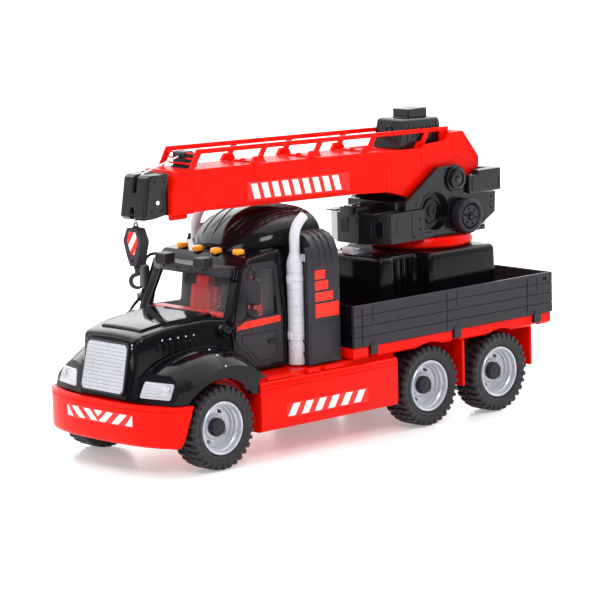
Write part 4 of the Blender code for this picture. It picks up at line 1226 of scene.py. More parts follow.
def fairing():
    loops = []
    for x, half, top in FAIRING:
        loop = []
        for k in range(41):
            turn = math.pi * k / 40
            across = math.copysign(abs(math.cos(turn)) ** 0.62, math.cos(turn))
            loop.append((x, half * across, 194 + (top - 194) * math.sin(turn) ** 0.62))
        loops.append(loop)
    roof = [(-40, 150), (-62, 189.3), (-71.9, 198.4), (-114.3, 203.9), (-114.3, 150)]
    cap = minus(
        loft(loops), prism(roof, "y", -90, 90), box((-175, -135.6), (-80, 80), (180, 217.3)),
        box((-136, -113), (-80, 80), (180, 204.5)),
    )
    piece("fairing_skin", cap, "gloss", edge=0, smooth=34, replaces=("roof_fairing",))
    creases = []
    for start, spread in ((7.0, 0.42), (24.0, 0.30)):
        path = []
        for k in range(22):
            x = -90 - 3.6 * k
            y = start + (-90 - x) * spread
            path.append((x, y, fairing_z(x, y) + 0.1))
        creases.append(tube(path, [0.15] + [0.8] * 20 + [0.15], 8))
    pair("fairing_creases", joined(*creases), "gloss", edge=0)
    slots = []
    for y0, x0, x1 in ((8.5, -89.5, -117), (18.0, -97, -113)):
        loops = []
        for k in range(13):
            t = k / 12
            x = x0 + (x1 - x0) * t
            y = y0 + (x0 - x) * 0.06
            wide = 1.5 * math.sin(math.pi * (0.06 + 0.88 * t)) ** 0.5
            loops.append([
                (x, y - wide, fairing_z(x, y - wide) - 0.5), (x, y - wide, fairing_z(x, y - wide) + 0.25),
                (x, y + wide, fairing_z(x, y + wide) + 0.25), (x, y + wide, fairing_z(x, y + wide) - 0.5),
            ])
        slots.append(loft(loops))
    pair("fairing_slots", joined(*slots), "rubber", edge=0)


def stacks():
    x, y = STACK
    profile = [(0, 84.9), (7.9, 84.9), (8.5, 85.6)]
    z = 93.0
    while z < 184:
        profile += [(8.5, z - 0.45), (8.05, z - 0.2), (8.05, z + 0.2), (8.5, z + 0.45)]
        z += 8.6
    profile += [(8.5, 187), (8.1, 190), (6.6, 194.5), (5.5, 197.6), (5.2, 199.5), (0, 199.5)]
    silencer = turned(profile, (x, y, 0), "z", 40)
    path = curve_through(
        [(x, y, 198), (x, y, 206), (x, y, 214), (x - 2, y, 222), (x - 7, y, 229), (x - 13.5, y, 234)], 5,
    )
    radii = [5.2] * (len(path) - 6) + [5.15, 5.1, 5.1, 5.05, 5.0, 5.0]
    bore = tube(path[-7:-1] + [path[-1] + (path[-1] - path[-2]) * 2], 4.0, 24)
    pipe = minus(tube(path, radii, 28), bore)
    lugs = [
        prism(rect((x + 7, x + 10.2), (z - 4, z + 4), 1.2), "y", y - 2, y + 2)
        for z in STACK_BRACKET_Z
    ]
    pair(
        "stack_pipe", joined(silencer, pipe, *lugs), "grey", replaces="{side}_exhaust_stack", edge=0,
        smooth=38,
    )
    straps = []
    for z in STACK_BRACKET_Z:
        band = [(8.9, z - 1.7), (8.9, z + 1.7), (8.2, z + 1.7), (8.2, z - 1.7)]
        straps.append(turned(band, (x, y, 0), "z", 40, ring=True))
    pair("stack_straps", joined(*straps), "grey", edge=0.2)


def interior_details():
    parts = []

    def seat(y, back, t):
        return (-75.5 - back * 0.9, y, 117.8 + t - back * 0.02)

    def backrest(y, z, t):
        return (-91.2 - (z - 118) * 0.12 + t, y, z)

    for y in (-31, 31):
        parts.append(prism(rect((y - 17, y + 17), (0, 18), 4), seat, 0, 3.2))
        outline = [(y - 16, 122), (y + 16, 122), (y + 14, 156), (y - 14, 156)]
        parts.append(prism(rounded(outline, 4), backrest, 0, 3.4))
        for k in (-8, 0, 8):
            parts.append(tube([(-88.6, y + k, 126), (-92.2, y + k, 152)], 0.8, 8))
    piece("seat_cushions", joined(*parts), "red_trim", edge=0.7)
    shelf = prism(rounded([(-60, -55), (-47.5, -56), (-47.5, 56), (-60, 55)], 3), "z", 136.0, 143.0)
    piece("dash_shelf", shelf, "red_trim", edge=0.9)
    dash = [
        prism(rect((-12, 12), (128, 136), 2), "x", -63.6, -64.6),
        prism(rect((22, 40), (130, 137.5), 2), "x", -63.6, -65.0),
    ]
    piece("dash_panels", joined(*dash), "satin", edge=0.3)
    controls = [
        tube([(-64, 31, 134), (-70, 31, 138.6)], [2.2, 1.8], 12),
        tube([(-72, 0, 99), (-74, 0, 118)], 1.0, 10),
        turned([(0, 0), (2.0, 0.6), (2.4, 2.4), (1.6, 4.2), (0, 4.8)], (-74, 0, 117), "z", 16),
    ]
    piece("cab_controls", joined(*controls), "satin", edge=0)


# ---------------------------------------------------------------- crane


def boom_z(x, level):
    """The height of a line along the boom, which rises forward."""
    return level + (x - BOOM_MOUTH) * TILT


def boom_side(x, z, t):
    """The boom's left face; z is a level at the boom's mouth."""
    return (x, BOOM_HALF + t, boom_z(x, z))


def face(a, b):
    """A placing function for the upright face from plan point a to b: distance along it, height, depth."""
    start, along = Vector(a), (Vector(b) - Vector(a)).normalized()
    out = Vector((along.y, -along.x))

    def put(s, z, t):
        p = start + along * s + out * t
        return (p.x, p.y, z)

    return put


def turntable():
    dress("turntable_ring", "red", 0.6)
    half = [
        (-267, 0), (-267, 53), (-291, 55.2), (-293, 46.2), (-325, 46.2), (-327, 67.2), (-431, 67.2),
        (-431, 0),
    ]
    outline = half[:-1] + [(x, -y) for x, y in reversed(half[1:-1])]
    inner = [(-270, 0), (-270, 50), (-288, 52), (-290, 43), (-328, 43), (-330, 64), (-428, 64), (-428, 0)]
    inner = inner[:-1] + [(x, -y) for x, y in reversed(inner[1:-1])]
    piece("pedestal_plinth", hoop(outline, inner, "z", 96.3, 98.8), "gloss", edge=0.5)
    loops = []
    for z, cut, radius in (
        (97.0, 2.2, 5.0), (130.0, 2.4, 5.0), (165.5, 2.8, 5.0), (168.6, 3.3, 4.8), (170.6, 4.4, 4.4),
        (171.6, 5.8, 3.8), (172.0, 7.6, 3.2),
    ):
        loops.append([(x, y, z) for x, y in rounded(shrunk(outline, cut), radius, 5)])
    piece("pedestal_shell", loft(loops), "gloss", edge=0, smooth=34, replaces=("pedestal",))
    ribs = []
    for x in (-300, -309, -318):
        ribs.append(box((x - 1.2, x + 1.2), (44.8, 46.4), (100, 168)))
    ribs.append(prism(rect((-429, -417), (97, 104), 1.5), "y", 66.5, 71.0))
    lug = prism(rect((-316, -296), (104, 111), 2), "y", 44.5, 49.0)
    pair("pedestal_ribs", joined(*ribs, lug), "gloss", edge=0.35)
    tab = minus(
        prism(rect((-301, -270), (172.1, 180.6), 3), "y", -7, 7),
        prism(rect((-296, -275), (175.0, 178.6), 1.8), "y", -9, 9),
    )
    piece("slew_stop_tab", tab, "grey", edge=0.5)
    studs = []
    for k in range(5):
        place = (-276 - 8 * k, 44 if k < 2 else 38, 0)
        studs.append(stud(172, 1.5, 173, 173.3, place, "z", 14))
    pair("pedestal_studs", joined(*studs), "gloss", edge=0, smooth=50)
    band = turned([(55.7, 174.9), (55.9, 175.4), (55.9, 178.0), (55.7, 178.5)], SLEW_AXIS, "z", 96, ring=True)
    piece("turntable_band", band, "red", edge=0, smooth=30)
    teeth = []
    for k in range(48):
        spot = Matrix.Translation(SLEW_AXIS) @ Matrix.Rotation(math.radians(7.5 * k), 4, "Z")
        teeth.append(moved(box((48.2, 52.2), (-1.3, 1.3), (183.2, 183.9)), spot))
    piece("turntable_teeth", joined(*teeth), "red_trim", edge=0)


def turret():
    dress("turret_base counterweight", "sheen", 1.4)
    dress("left_cheek right_cheek", "sheen", 0.8)
    nose, corner = face((-273, -16), (-273, 16)), face((-273, 16), (-292, 45))
    frames, panes = [], []
    for place, s, z, wide, high in ((nose, 10.9, 202.8, 7.5, 14), (corner, 21.5, 199.5, 8.0, 15.5)):
        outline = rect((s - wide / 2, s + wide / 2), (z - high / 2, z + high / 2), 1.6)
        frames.append(hoop(shrunk(outline, -1.3), outline, place, -0.2, 0.7))
        panes.append(prism(outline, place, -0.2, 0.2))
    frames.append(prism(rect((12.6, 13.6), (192, 207.5)), corner, -0.2, 0.6))
    frames.append(hoop(
        rect((17, 29), (205.5, 212.5), 1.4),
        rect((18, 28), (206.5, 211.5), 1.0), nose, -0.2, 0.6,
    ))
    frames.append(prism(rect((1.5, 30.5), (186.6, 187.6)), nose, -0.2, 0.5))
    piece("turret_window_frames", joined(*frames), "sheen", "turret", edge=0.25)
    piece("turret_window_panes", joined(*panes), "gloss", "turret", edge=0)
    side = [
        box((-323.6, -322.6), (44.8, 45.5), (186, 215.6)),
        prism(rect((-314, -300), (193, 211), 2), "y", 44.9, 45.5),
        prism(rect((-341, -326), (186.5, 189.8), 1), "y", 44.9, 45.9),
        stud(44.9, 1.6, 46.0, 46.3, (-336, 0, 206)),
        stud(44.9, 1.6, 46.0, 46.3, (-336, 0, 196)),
    ]
    pair("turret_side_panels", joined(*side), "sheen", "turret", edge=0.25)
    top = [
        prism(rect((-291, -274.5), (-9.5, 9.5), 3.5), "z", 221.8, 223.0),
        turned([(0, 222.6), (3.4, 222.6), (3.2, 223.8), (1.6, 224.2), (0, 224.2)], (-283, 0, 0), "z", 28),
        box((-307.5, -296), (-12, 12), (221.8, 223.4)),
        box((-306, -276), (24, 36), (215.8, 217.2)), box((-306, -276), (-36, -24), (215.8, 217.2)),
    ]
    piece("turret_top_details", joined(*top), "sheen", "turret", edge=0.4)
    x, z = PIVOT
    boss = [
        turned(
            [(10.6, 45.2), (10.6, 46.6), (9.6, 47.2), (8.2, 47.2), (7.6, 46.4), (7.6, 45.2)], (x, 0, z),
            steps=48, ring=True,
        ),
        turned(rect((0, 8.0), (45.1, 45.7)), (x, 0, z), steps=32),
        turned([(0, 45.4), (4.4, 45.4), (4.4, 46.6), (3.4, 47.0), (0, 47.0)], (x, 0, z), steps=6),
        turned([(13.9, 42.8), (13.9, 43.8), (12.4, 43.8), (12.4, 42.8)], (x, 0, z), steps=48, ring=True),
    ]
    for k in range(8):
        turn = math.radians(20 + 45 * k)
        centre = (x + 12.3 * math.cos(turn), 0, z + 12.3 * math.sin(turn))
        boss.append(turned([(0, 42.8), (1.0, 42.8), (0.9, 43.9), (0, 44.2)], centre, steps=10))
    pair("pivot_boss", joined(*boss), "sheen", "turret", edge=0, smooth=38)
    motor = turned([
        (0, 36.6), (3.0, 36.6), (3.4, 37.4), (6.0, 37.4), (6.4, 36.2), (11.0, 36.2), (11.6, 38.0),
        (13.4, 38.0),
        (14.0, 35.6), (20.6, 35.6), (21.4, 34.4), (0, 34.4),
    ], MOTOR_AXIS, steps=56)
    pair("slew_motor_cover", motor, "gloss", "turret", edge=0, smooth=35)
    ring = turned([(20.2, 40.8), (20.2, 41.7), (21.8, 41.7), (21.8, 40.8)], MOTOR_AXIS, steps=56, ring=True)
    rail = []
    edge_line = [
        (-318, 41.2, 217.5), (-318, 41.2, 224), (-366, 41.2, 255.8), (-395, 41.2, 256.4), (-403, 41.2, 243.4),
    ]
    for ends in zip(edge_line, edge_line[1:]):
        rail.append(tube(ends, 0.8, 10))
    for px, pz in ((-448, 218), (-448, 206), (-436, 195.5), (-348, 194), (-346, 228), (-334, 221.5)):
        rail.append(stud(40.8, 1.5, 41.8, 42.2, (px, 0, pz), steps=14))
    pair("cheek_details", joined(ring, *rail), "sheen", "turret", edge=0, smooth=40)
    weight = [
        hoop(
            rect((-36, 36), (228.5, 245.5), 2), rect((-34.4, 34.4), (230.1, 243.9), 1.4), "x", -458.8, -457.8,
        ),
    ]
    for y in (-24, -8, 8, 24):
        weight.append(box((-458.7, -457.8), (y - 5.5, y + 5.5), (233, 241)))
    piece("counterweight_back", joined(*weight), "sheen", "turret", edge=0.3)
    flank_panel = hoop(
        rect((-455, -413), (228, 241.5), 2),
        rect((-453.6, -414.4), (229.4, 240.1), 1.4), "y", 45.8, 46.7,
    )
    pair("counterweight_side", flank_panel, "sheen", "turret", edge=0.3)
    plates = [prism(rounded([(-336, -38), (-336, 38), (-346, 38), (-346, -38)], 2), "z", 189.8, 191.0)]
    for y in (-30, 30):
        plates.append(stud(189.9, 2.2, 191.4, 191.8, (-425, y, 0), "z", 6))
    piece("turret_deck_details", joined(*plates), "sheen", "turret", edge=0.3)


def winch():
    dress("winch_drum", "satin", 0.3)
    x, z = WINCH
    wraps = []
    for k in range(24):
        y = -22.5 + 1.95 * k
        section = []
        for j in range(8):
            turn = math.pi * 2 * j / 8
            section.append((8.45 + 0.95 * math.cos(turn), y + 0.95 * math.sin(turn)))
        wraps.append(turned(section, (x, 0, z), steps=32, ring=True))
    piece("drum_line", joined(*wraps), "line", "winch", edge=0, smooth=60)
    profile = [
        (4.4, 42.8), (17.2, 42.8), (18.2, 43.4), (18.6, 44.4), (18.6, 52.6), (18.2, 53.9), (17.2, 54.7),
        (16.0, 55.0),
        (14.6, 54.8), (13.7, 53.9), (13.2, 51.6), (12.6, 51.2), (12.0, 51.6), (11.8, 53.6), (11.4, 54.2),
        (5.4, 54.2),
        (5.0, 53.4), (4.4, 53.2),
    ]
    knob = turned(profile, (x, 0, z), steps=72, ring=True)
    holes = []
    for count, first, far, low, high, radius, steps in (
        (6, 15, 8.4, 50, 57, 1.5, 16), (24, 0, 19.1, 41, 52, 1.0, 8),
    ):
        for k in range(count):
            turn = math.radians(first + 360 * k / count)
            at_x, at_z = x + far * math.cos(turn), z + far * math.sin(turn)
            holes.append(tube([(at_x, low, at_z), (at_x, high, at_z)], radius, steps))
    piece(
        "winch_handwheel", minus(knob, joined(*holes)), "satin", "winch", edge=0, smooth=34,
        replaces=("winch_knob",),
    )
    hub = turned([(0, 51.5), (3.4, 51.5), (3.4, 53.8), (2.6, 54.6), (0, 54.9)], (x, 0, z), steps=32)
    piece("winch_hub", hub, "gloss", "winch", edge=0, smooth=40)


def boom():
    dress("outer_boom", "red", 0.7)
    dress("left_ladder_rail right_ladder_rail", "red", 0.5)
    dress("boom_cabinet", "sheen", 0.9)
    dress("line_guide", "gloss", 0.6)
    dress("inner_boom", "red", 0.5)
    dress("boom_head", "sheen", 1.2)
    bars = []
    for k in range(9):
        x = -119.0 - 14.2 * k
        bars.append(
            patch(
                [(x - 9.0, 251.5), (x - 0.5, 251.5), (x + 4.2, 267.0), (x - 4.3, 267.0)], boom_side, 0.02,
                0.2,
            )
        )
    pair("boom_stripes", joined(*bars), "white", "boom", edge=0)
    film = patch([(-254, 249.8), (-111, 249.8), (-109.5, 268.7), (-252.5, 268.7)], boom_side, 0.0, 0.05)
    pair("boom_stripe_film", film, "red_trim", "boom", edge=0)
    trims = []
    for centre in (-125.9, -203.6):
        trims.append(patch(rect((centre - 6, centre + 6), (273.6, 286.3)), boom_side, -0.1, 0.7))
    trims.append(patch(rect((-68, -52), (274.5, 286.3)), boom_side, -0.1, 0.7))
    trims.append(patch(rect((-49.5, -48.3), (245.5, 286.5)), boom_side, -0.1, 0.35))
    trims.append(patch(rect((-258, -52), (276.8, 277.5)), boom_side, -0.1, 0.3, 8))
    trims.append(patch(rect((-258, -52), (247.2, 247.9)), boom_side, -0.1, 0.3, 8))
    pair("boom_side_pads", joined(*trims), "red", "boom", edge=0.2)

    def wide(x, z, t):
        return (x, 33.0 + t, z)

    rear = [
        hoop(
            rounded([(-306, 240), (-330, 231.5), (-352, 229.5), (-352, 275), (-306, 276.5)], 3),
            rounded([(-307.3, 241), (-330, 232.9), (-350.7, 231), (-350.7, 273.7), (-307.3, 275.2)], 2.4),
            wide, -0.1, 0.5,
        ),
        prism(rect((-300.6, -299.6), (238.6, 279)), wide, -0.1, 0.45),
        hoop(
            rounded([(-412, 262), (-434, 255), (-434, 261), (-415, 287), (-396, 287), (-398, 268)], 2),
            rounded([
                (-413, 263.4), (-432.7, 257), (-432.7, 260.6), (-415.6, 285.7), (-397.5, 285.7),
                (-399.2, 269),
            ], 1.6),
            wide, -0.1, 0.5,
        ),
    ]
    for x, z in ((-358, 277), (-384, 278), (-428, 258), (-402, 284)):
        rear.append(stud(32.8, 1.5, 33.7, 34.0, (x, 0, z), steps=14))
    pair("boom_rear_panels", joined(*rear), "red", "boom", edge=0.25)
    under = [box((-250 + 30 * k, -247 + 30 * k), (-20, 20), (0, 0.7)) for k in range(7)]
    for rib in under:
        for vert in rib.verts:
            vert.co.z += boom_z(vert.co.x, BOOM_BOTTOM) - 0.6
    piece("boom_underside_ribs", joined(*under), "red", "boom", edge=0.2)
    dot = turned([(0, 0.0), (3.0, 0.0), (2.6, 1.5), (1.2, 2.1), (0, 2.2)], axis="y", steps=28)
    spot = Matrix.Translation((-116, 18, boom_z(-116, BOOM_BOTTOM)))
    moved(dot, spot @ Matrix.Rotation(math.radians(90), 4, "X"))
    piece("boom_underside_stud", dot, "red", "boom", edge=0, smooth=50)

    gussets = []
    for foot, level, out in (
        (-122.7, BOOM_TOP, 24.9), (-200.4, BOOM_TOP, 24.9), (-278.0, BOOM_TOP, 24.9), (-356.0, 285.8, 24.6),
    ):
        base = boom_z(foot - 3, level) + 0.35
        outline = [
            (foot + 6.0, base), (foot + 1.0, base + 7.0), (foot - 9.0, base + 7.0), (foot - 13.5, base),
        ]
        gussets.append(prism(outline, "y", 20.3, out))
    pair("rail_gussets", joined(*gussets), "red", "boom", edge=0.5)
    ties = []
    for foot in (-122.7, -200.4, -278.0):
        z = boom_z(foot - 3, BOOM_TOP) + 0.3
        ties.append(box((foot - 7.5, foot - 0.5), (-21, 21), (z, z + 1.6)))
        cap = [(0, z + 1.4), (3.2, z + 1.4), (2.9, z + 2.8), (1.6, z + 3.4), (0, z + 3.4)]
        ties.append(turned(cap, (foot - 4, 0, 0), "z", 24))
    piece("rail_ties", joined(*ties), "red", "boom", edge=0.35)
    rungs = []
    for k in range(1, 4):
        x = -33.4 - 9.5 * k / 4 - 3.2
        z = boom_z(x, BOOM_TOP + RAIL_STEP * k)
        rungs.append(tube([(x, -21.5, z), (x, 21.5, z)], 0.9, 10))
    piece("rail_front_rungs", joined(*rungs), "red", "boom", edge=0)
    peg = [(0, 24.0), (1.7, 24.0), (1.6, 25.0), (0.8, 25.6), (0, 25.7)]
    pegs = [
        turned(peg, (x, 0, boom_z(x, BOOM_TOP + 17.0)), "y", 16) for x in (-60, -160, -240, -320, -385)
    ]
    pair("rail_pegs", joined(*pegs), "red", "boom", edge=0, smooth=50)

    cabinet = [
        turned([(4.4, -1.0), (4.4, 1.2), (3.8, 1.6), (3.2, 1.2), (3.2, -1.0)], (0, 0, 0), "x", 32, ring=True),
        turned(rect((0, 3.1), (-0.6, 0.2)), (0, 0, 0), "x", 24),
    ]
    for part in cabinet:
        moved(part, Matrix.Translation((-334.8, 1.0, 297.2)) @ Matrix.Rotation(math.radians(-14), 4, "Y"))
    cabinet.append(hoop(
        rounded([(-388, 284), (-343, 284), (-346, 304.5), (-388, 304.5)], 2),
        rounded([(-386.8, 285.2), (-344.6, 285.2), (-347.2, 303.3), (-386.8, 303.3)], 1.5),
        "y", 19.3, 20.1,
    ))
    cabinet.append(box((-380.5, -354.5), (10.8, 11.7), (308.5, 316)))
    for x in range(-384, -350, 5):
        cabinet.append(box((x, x + 2), (19.3, 20.3), (288, 300)))
    piece("cabinet_details", joined(*cabinet), "sheen", "boom", edge=0.2)
    lid = hoop(rect((-380, -355), (-9.4, 9.4), 2), rect((-378.6, -356.4), (-8, 8), 1.4), "z", 317.0, 317.95)
    piece("cabinet_lid_line", lid, "satin", "boom", edge=0.2)
    guide = joined(
        turned([(4.9, 8.6), (4.9, 9.6), (3.6, 9.6), (3.6, 8.6)], (-47, 0, 296), "y", 32, ring=True),
        turned([(4.9, -8.6), (4.9, -9.6), (3.6, -9.6), (3.6, -8.6)], (-47, 0, 296), "y", 32, ring=True),
        turned([(3.2, -40.6), (3.2, -39.2), (1.6, -39.2), (1.6, -40.6)], (0, 0, 298.4), "x", 28, ring=True),
        box((-55, -39), (-10.5, 10.5), (287.3, 289.0)),
    )
    piece("guide_rollers", guide, "satin", "boom", edge=0, smooth=38)
    head_details()


def head_details():
    side = [
        prism(rounded([(20.5, 246), (14.6, 282), (-7.4, 282), (-7.4, 247)], 2.5), "y", 18.2, 18.9),
        box((-3.0, -1.6), (18.5, 19.5), (247, 271)),
    ]
    for x, z in ((7.6, 279.0), (-4.6, 277.5), (12.6, 249.5), (0.8, 249.5)):
        side.append(turned([(0, 18.6), (1.5, 18.6), (1.3, 19.6), (0.6, 19.9), (0, 19.9)], (x, 0, z), "y", 16))
    side.append(turned(rect((0, 3.0), (18.6, 19.3)), HEAD_PIN, "y", 28))
    pair("head_side_details", joined(*side), "sheen", "inner_boom", edge=0, smooth=35)
    pin = turned([(0, 19.2), (2.2, 19.2), (2.1, 19.9), (1.4, 20.2), (0, 20.2)], HEAD_PIN, "y", 28)
    pair("head_pin", pin, "white", "inner_boom", edge=0, smooth=50)
    sheave = turned([
        (0, -2.6), (6.9, -2.6), (7.2, -2.2), (6.2, -0.6), (6.2, 0.6), (7.2, 2.2), (6.9, 2.6), (0, 2.6),
    ], (4.0, 0, 277.0), "y", 48)
    piece("head_sheave", sheave, "satin", "inner_boom", edge=0, smooth=30)

    def front(y, z, t):
        return (23.3 - (z - 244.5) * 0.1714 + t, y, z)

    lip = [
        hoop(rect((-9, 9), (246, 255.6), 2), rect((-3.3, 3.3), (247.2, 254.2), 1), front, 0.0, 0.5),
        box((-8.4, -7.2), (-18.9, 18.9), (285.2, 286.2)),
    ]
    piece("head_front_details", joined(*lip), "sheen", "inner_boom", edge=0.2)
    collar = hoop(
        rounded([(-36.5, 246.5), (-11, 246.5), (-11, 266), (-19, 282.5), (-36.5, 283.5)], 2),
        rounded([(-35.4, 247.6), (-12.1, 247.6), (-12.1, 265.8), (-19.6, 281.4), (-35.4, 282.4)], 1.6),
        "y", 24.2, 24.8,
    )
    pair("collar_press_line", collar, "red", "inner_boom", edge=0.2)


def line_and_hook():
    start, bend = Vector((-39.8, 0, 298.4)), Vector((3.0, 0, 287.1))
    path = [start.lerp(bend, k / 24) for k in range(25)]
    path += curve_through(
        [(3.0, 0, 287.1), (7.2, 0, 285.6), (10.6, 0, 282.4), (12.6, 0, 277.5), (15.5, 0, 264)], 6,
    )[1:]
    path += curve_through([(15.5, 0, 264), (17.3, 0, 257), (HOOK_X, 0, 252), (HOOK_X, 0, 247.4)], 4)[1:]
    line = piece("boom_cord", tube(path, 0.9, 12), "line", None, edge=0, smooth=60, replaces=("boom_line",))
    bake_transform(line)
    path = [Vector((HOOK_X, 0, 248.6 - 0.45 * k)) for k in range(24)]
    line = piece("hook_cord", tube(path, 0.9, 12), "line", None, edge=0, smooth=60, replaces=("hoist_line",))
    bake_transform(line)

    half = [(4.5, 195.5), (8.8, 205), (13.2, 219), (13.2, 221.5), (7.4, 233.5)]
    outline = rounded(half + [(-y, z) for y, z in reversed(half)], 1.6, 3)
    diamond = [(-2.4, 206.8), (2.4, 206.8), (8.8, 220.6), (4.9, 229.8), (-4.9, 229.8), (-8.8, 220.6)]
    plate = minus(
        prism(outline, "x", HOOK_X - 5.4, HOOK_X + 5.4),
        prism(diamond, "x", HOOK_X + 4.5, HOOK_X + 8),
        prism(diamond, "x", HOOK_X - 8, HOOK_X - 4.5),
        tube([(HOOK_X + 4.2, 0, 201.2), (HOOK_X + 8, 0, 201.2)], 1.9, 24),
        tube([(HOOK_X - 4.2, 0, 201.2), (HOOK_X - 8, 0, 201.2)], 1.9, 24),
    )
    eye = turned(
        [(2.6, 0), (2.9, 0.7), (2.6, 1.4), (2.0, 1.6), (1.5, 1.4), (1.2, 0.7), (1.5, 0), (2.0, -0.2)],
        (HOOK_X, -0.7, 236.4), "y", 28, ring=True,
    )
    neck = turned([(0, 232.5), (3.6, 232.5), (3.4, 234.2), (2.2, 235.2), (0, 235.4)], (HOOK_X, 0, 0), "z", 28)
    piece("hook_block_frame", joined(plate, eye, neck), "satin", "block", edge=0.35, replaces=("hook_block",))
    turns = [
        (HOOK_X - 1.5, 0, 239.6), (HOOK_X, 1.5, 240.2), (HOOK_X + 1.5, 0, 240.8), (HOOK_X, -1.5, 241.2),
        (HOOK_X - 1.3, 0, 241.6),
    ]
    knot = tube(curve_through(turns, 6), 0.75, 10)
    piece("hook_line_knot", knot, "line", "block", edge=0, smooth=60)
    panel = shrunk(diamond, 0.15)
    white = [prism(panel, "x", HOOK_X + 4.4, HOOK_X + 4.9), prism(panel, "x", HOOK_X - 4.9, HOOK_X - 4.4)]
    piece("hook_block_panels", joined(*white), "white", "block", edge=0)
    stripes = []
    for k in range(4):
        y = -37.0 + 14.0 * k
        stripes.append([(y, 203), (y + 7.0, 203), (y + 27.0, 231), (y + 20.0, 231)])
    bars = []
    for low, high in ((HOOK_X + 4.7, HOOK_X + 5.05), (HOOK_X - 5.05, HOOK_X - 4.7)):
        bands = joined(*[prism(stripe, "x", low - 1, high + 1) for stripe in stripes])
        bars.append(boolean(prism(shrunk(diamond, 0.2), "x", low, high), bands, "INTERSECT"))
    piece("hook_block_stripes", joined(*bars), "signal", "block", edge=0)

    turn = math.radians(38)
    across = Vector((-math.sin(turn), math.cos(turn), 0))
    centre = Vector((HOOK_X, 0, 180.2))
    points = [Vector((HOOK_X, 0, 195.2)), Vector((HOOK_X, 0, 192.4)), Vector((HOOK_X, 0, 189.6))]
    radii = [2.5, 2.5, 2.4]
    for k in range(25):
        swing = math.radians(78 + 9.7 * k)
        points.append(centre + across * 6.6 * math.cos(swing) + Vector((0, 0, 6.6 * math.sin(swing))))
        radii.append(2.15 if k < 14 else 2.15 - 0.085 * (k - 14))
    bar = tube(points, radii, 20)
    collar = turned(
        [(2.5, 192.4), (3.4, 192.8), (3.4, 194.6), (2.5, 195.0), (1.6, 194.6), (1.6, 192.8)], (HOOK_X, 0, 0),
        "z", 28, ring=True,
    )
    piece("swivel_hook", joined(bar, collar), "satin", "swivel", edge=0, smooth=50, replaces=("hook",))


# ---------------------------------------------------------------- underneath


def underbody():
    dress("chassis_frame", "red", 0.6)
    parts = [tube([(-60, y, 50), (-250, y, 50)], 2.0, 14) for y in (-14, 14)]
    for x in (-80, -120, -160, -200, -240):
        parts.append(box((x - 1.5, x + 1.5), (-32, 32), (50.6, 52.4)))
    piece("underbody_pipes", joined(*parts), "satin", edge=0, smooth=40)
    mounts = []
    for x in AXLES.values():
        for y in (-52, 52):
            mounts.append(
                turned(
                    [(5.4, y - 4), (5.4, y + 4), (3.2, y + 4), (3.2, y - 4)], (x, 0, WHEEL_Z), "y", 24,
                    ring=True,
                )
            )
    piece("axle_bushes", joined(*mounts), "satin", edge=0.2)


# ---------------------------------------------------------------- stage, light and camera


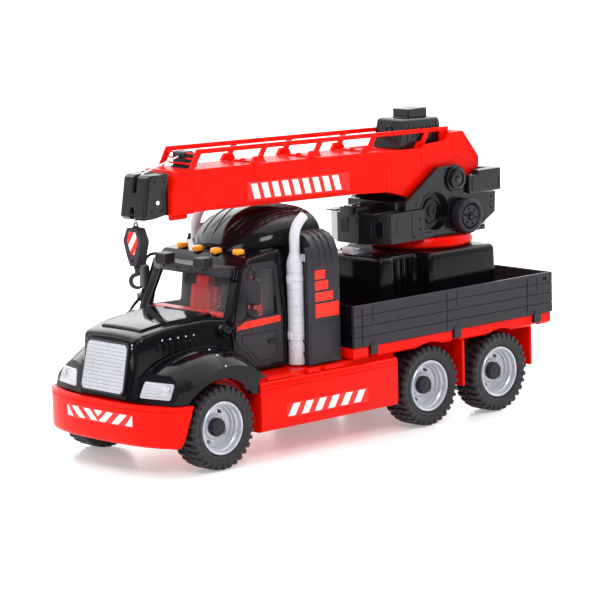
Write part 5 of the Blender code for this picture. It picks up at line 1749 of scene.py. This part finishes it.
def stage():
    scene = bpy.context.scene
    scene.view_settings.view_transform = "Standard"
    scene.view_settings.look = "None"
    mesh = bpy.data.meshes.new("studio_floor")
    bm = bmesh.new()
    bmesh.ops.create_circle(bm, cap_ends=True, segments=64, radius=9.0)
    bm.to_mesh(mesh)
    bm.free()
    mat = bpy.data.materials.new("studio_floor")
    mat.use_nodes = True
    shader = mat.node_tree.nodes["Principled BSDF"]
    shader.inputs["Base Color"].default_value = (0.80, 0.80, 0.80, 1)
    shader.inputs["Emission Color"].default_value = (1, 1, 1, 1)
    shader.inputs["Emission Strength"].default_value = 0.30
    shader.inputs["Roughness"].default_value = 0.22
    shader.inputs["Specular IOR Level"].default_value = 0.35
    mesh.materials.append(mat)
    floor = bpy.data.objects.new("studio_floor", mesh)
    floor.location = (0, 0, -0.0004)
    scene.collection.objects.link(floor)

    room = bpy.data.worlds.new("studio")
    room.use_nodes = True
    tree = room.node_tree
    way = node(tree, "TexCoord").outputs["Generated"]
    ahead = node(tree, "VectorMath", operation="DOT_PRODUCT", i0=way, i1=VIEW_AHEAD).outputs["Value"]
    height = node(tree, "SeparateXYZ", i0=way).outputs[2]
    wall = remap(tree, ahead, -0.35, 0.25, 0.18, 1.12)
    roof = math_node(
        tree, "MULTIPLY", remap(tree, ahead, 0.1, 0.45, 0.12, 1.0), remap(tree, height, 0.12, 0.32, 0.0, 2.4)
    )
    sky = tree.nodes["Background"]
    sky.inputs["Color"].default_value = (1.0, 1.0, 1.0, 1)
    tree.links.new(math_node(tree, "ADD", wall, roof), sky.inputs["Strength"])
    scene.world = room

    for name, place, aim, size, power in (
        ("key", (1.1, 1.9, 1.9), (0, 0, 0.1), (0.9, 0.9), 34),
        ("top", (-0.2, 0.0, 2.2), (0, 0, 0.1), (2.4, 1.6), 18),
        ("front", (2.4, 0.2, 0.9), (0, 0, 0.1), (0.8, 1.2), 14),
    ):
        lamp = bpy.data.lights.new(name, "AREA")
        lamp.shape = "RECTANGLE"
        lamp.size, lamp.size_y = size
        lamp.energy = power
        obj = bpy.data.objects.new(name, lamp)
        obj.location = place
        obj.rotation_euler = (Vector(aim) - Vector(place)).to_track_quat("-Z", "Y").to_euler()
        scene.collection.objects.link(obj)


def camera():
    """The photograph's view: from the front left, low, with a long lens."""
    turn, rise, roll = math.radians(46.685), math.radians(9.218), math.radians(-1.325)
    back = Vector((math.cos(turn) * math.cos(rise), math.sin(turn) * math.cos(rise), math.sin(rise)))
    right = Vector((-math.sin(turn), math.cos(turn), 0))
    up = back.cross(right)
    right, up = right * math.cos(roll) + up * math.sin(roll), up * math.cos(roll) - right * math.sin(roll)
    lens = bpy.data.cameras.new("camera")
    lens.lens = 206.76
    lens.sensor_width = 36.0
    lens.clip_end = 50.0
    obj = bpy.data.objects.new("camera", lens)
    basis = Matrix((right, up, back)).transposed().to_4x4()
    obj.matrix_world = Matrix.Translation((2.41044, 2.55890, 0.70374)) @ basis
    bpy.context.scene.collection.objects.link(obj)
    bpy.context.scene.camera = obj


camera()
stage()
wheels()
bumper()
skirts()
bed()
hood()
cab()
turntable()
turret()
winch()
boom()
line_and_hook()
underbody()
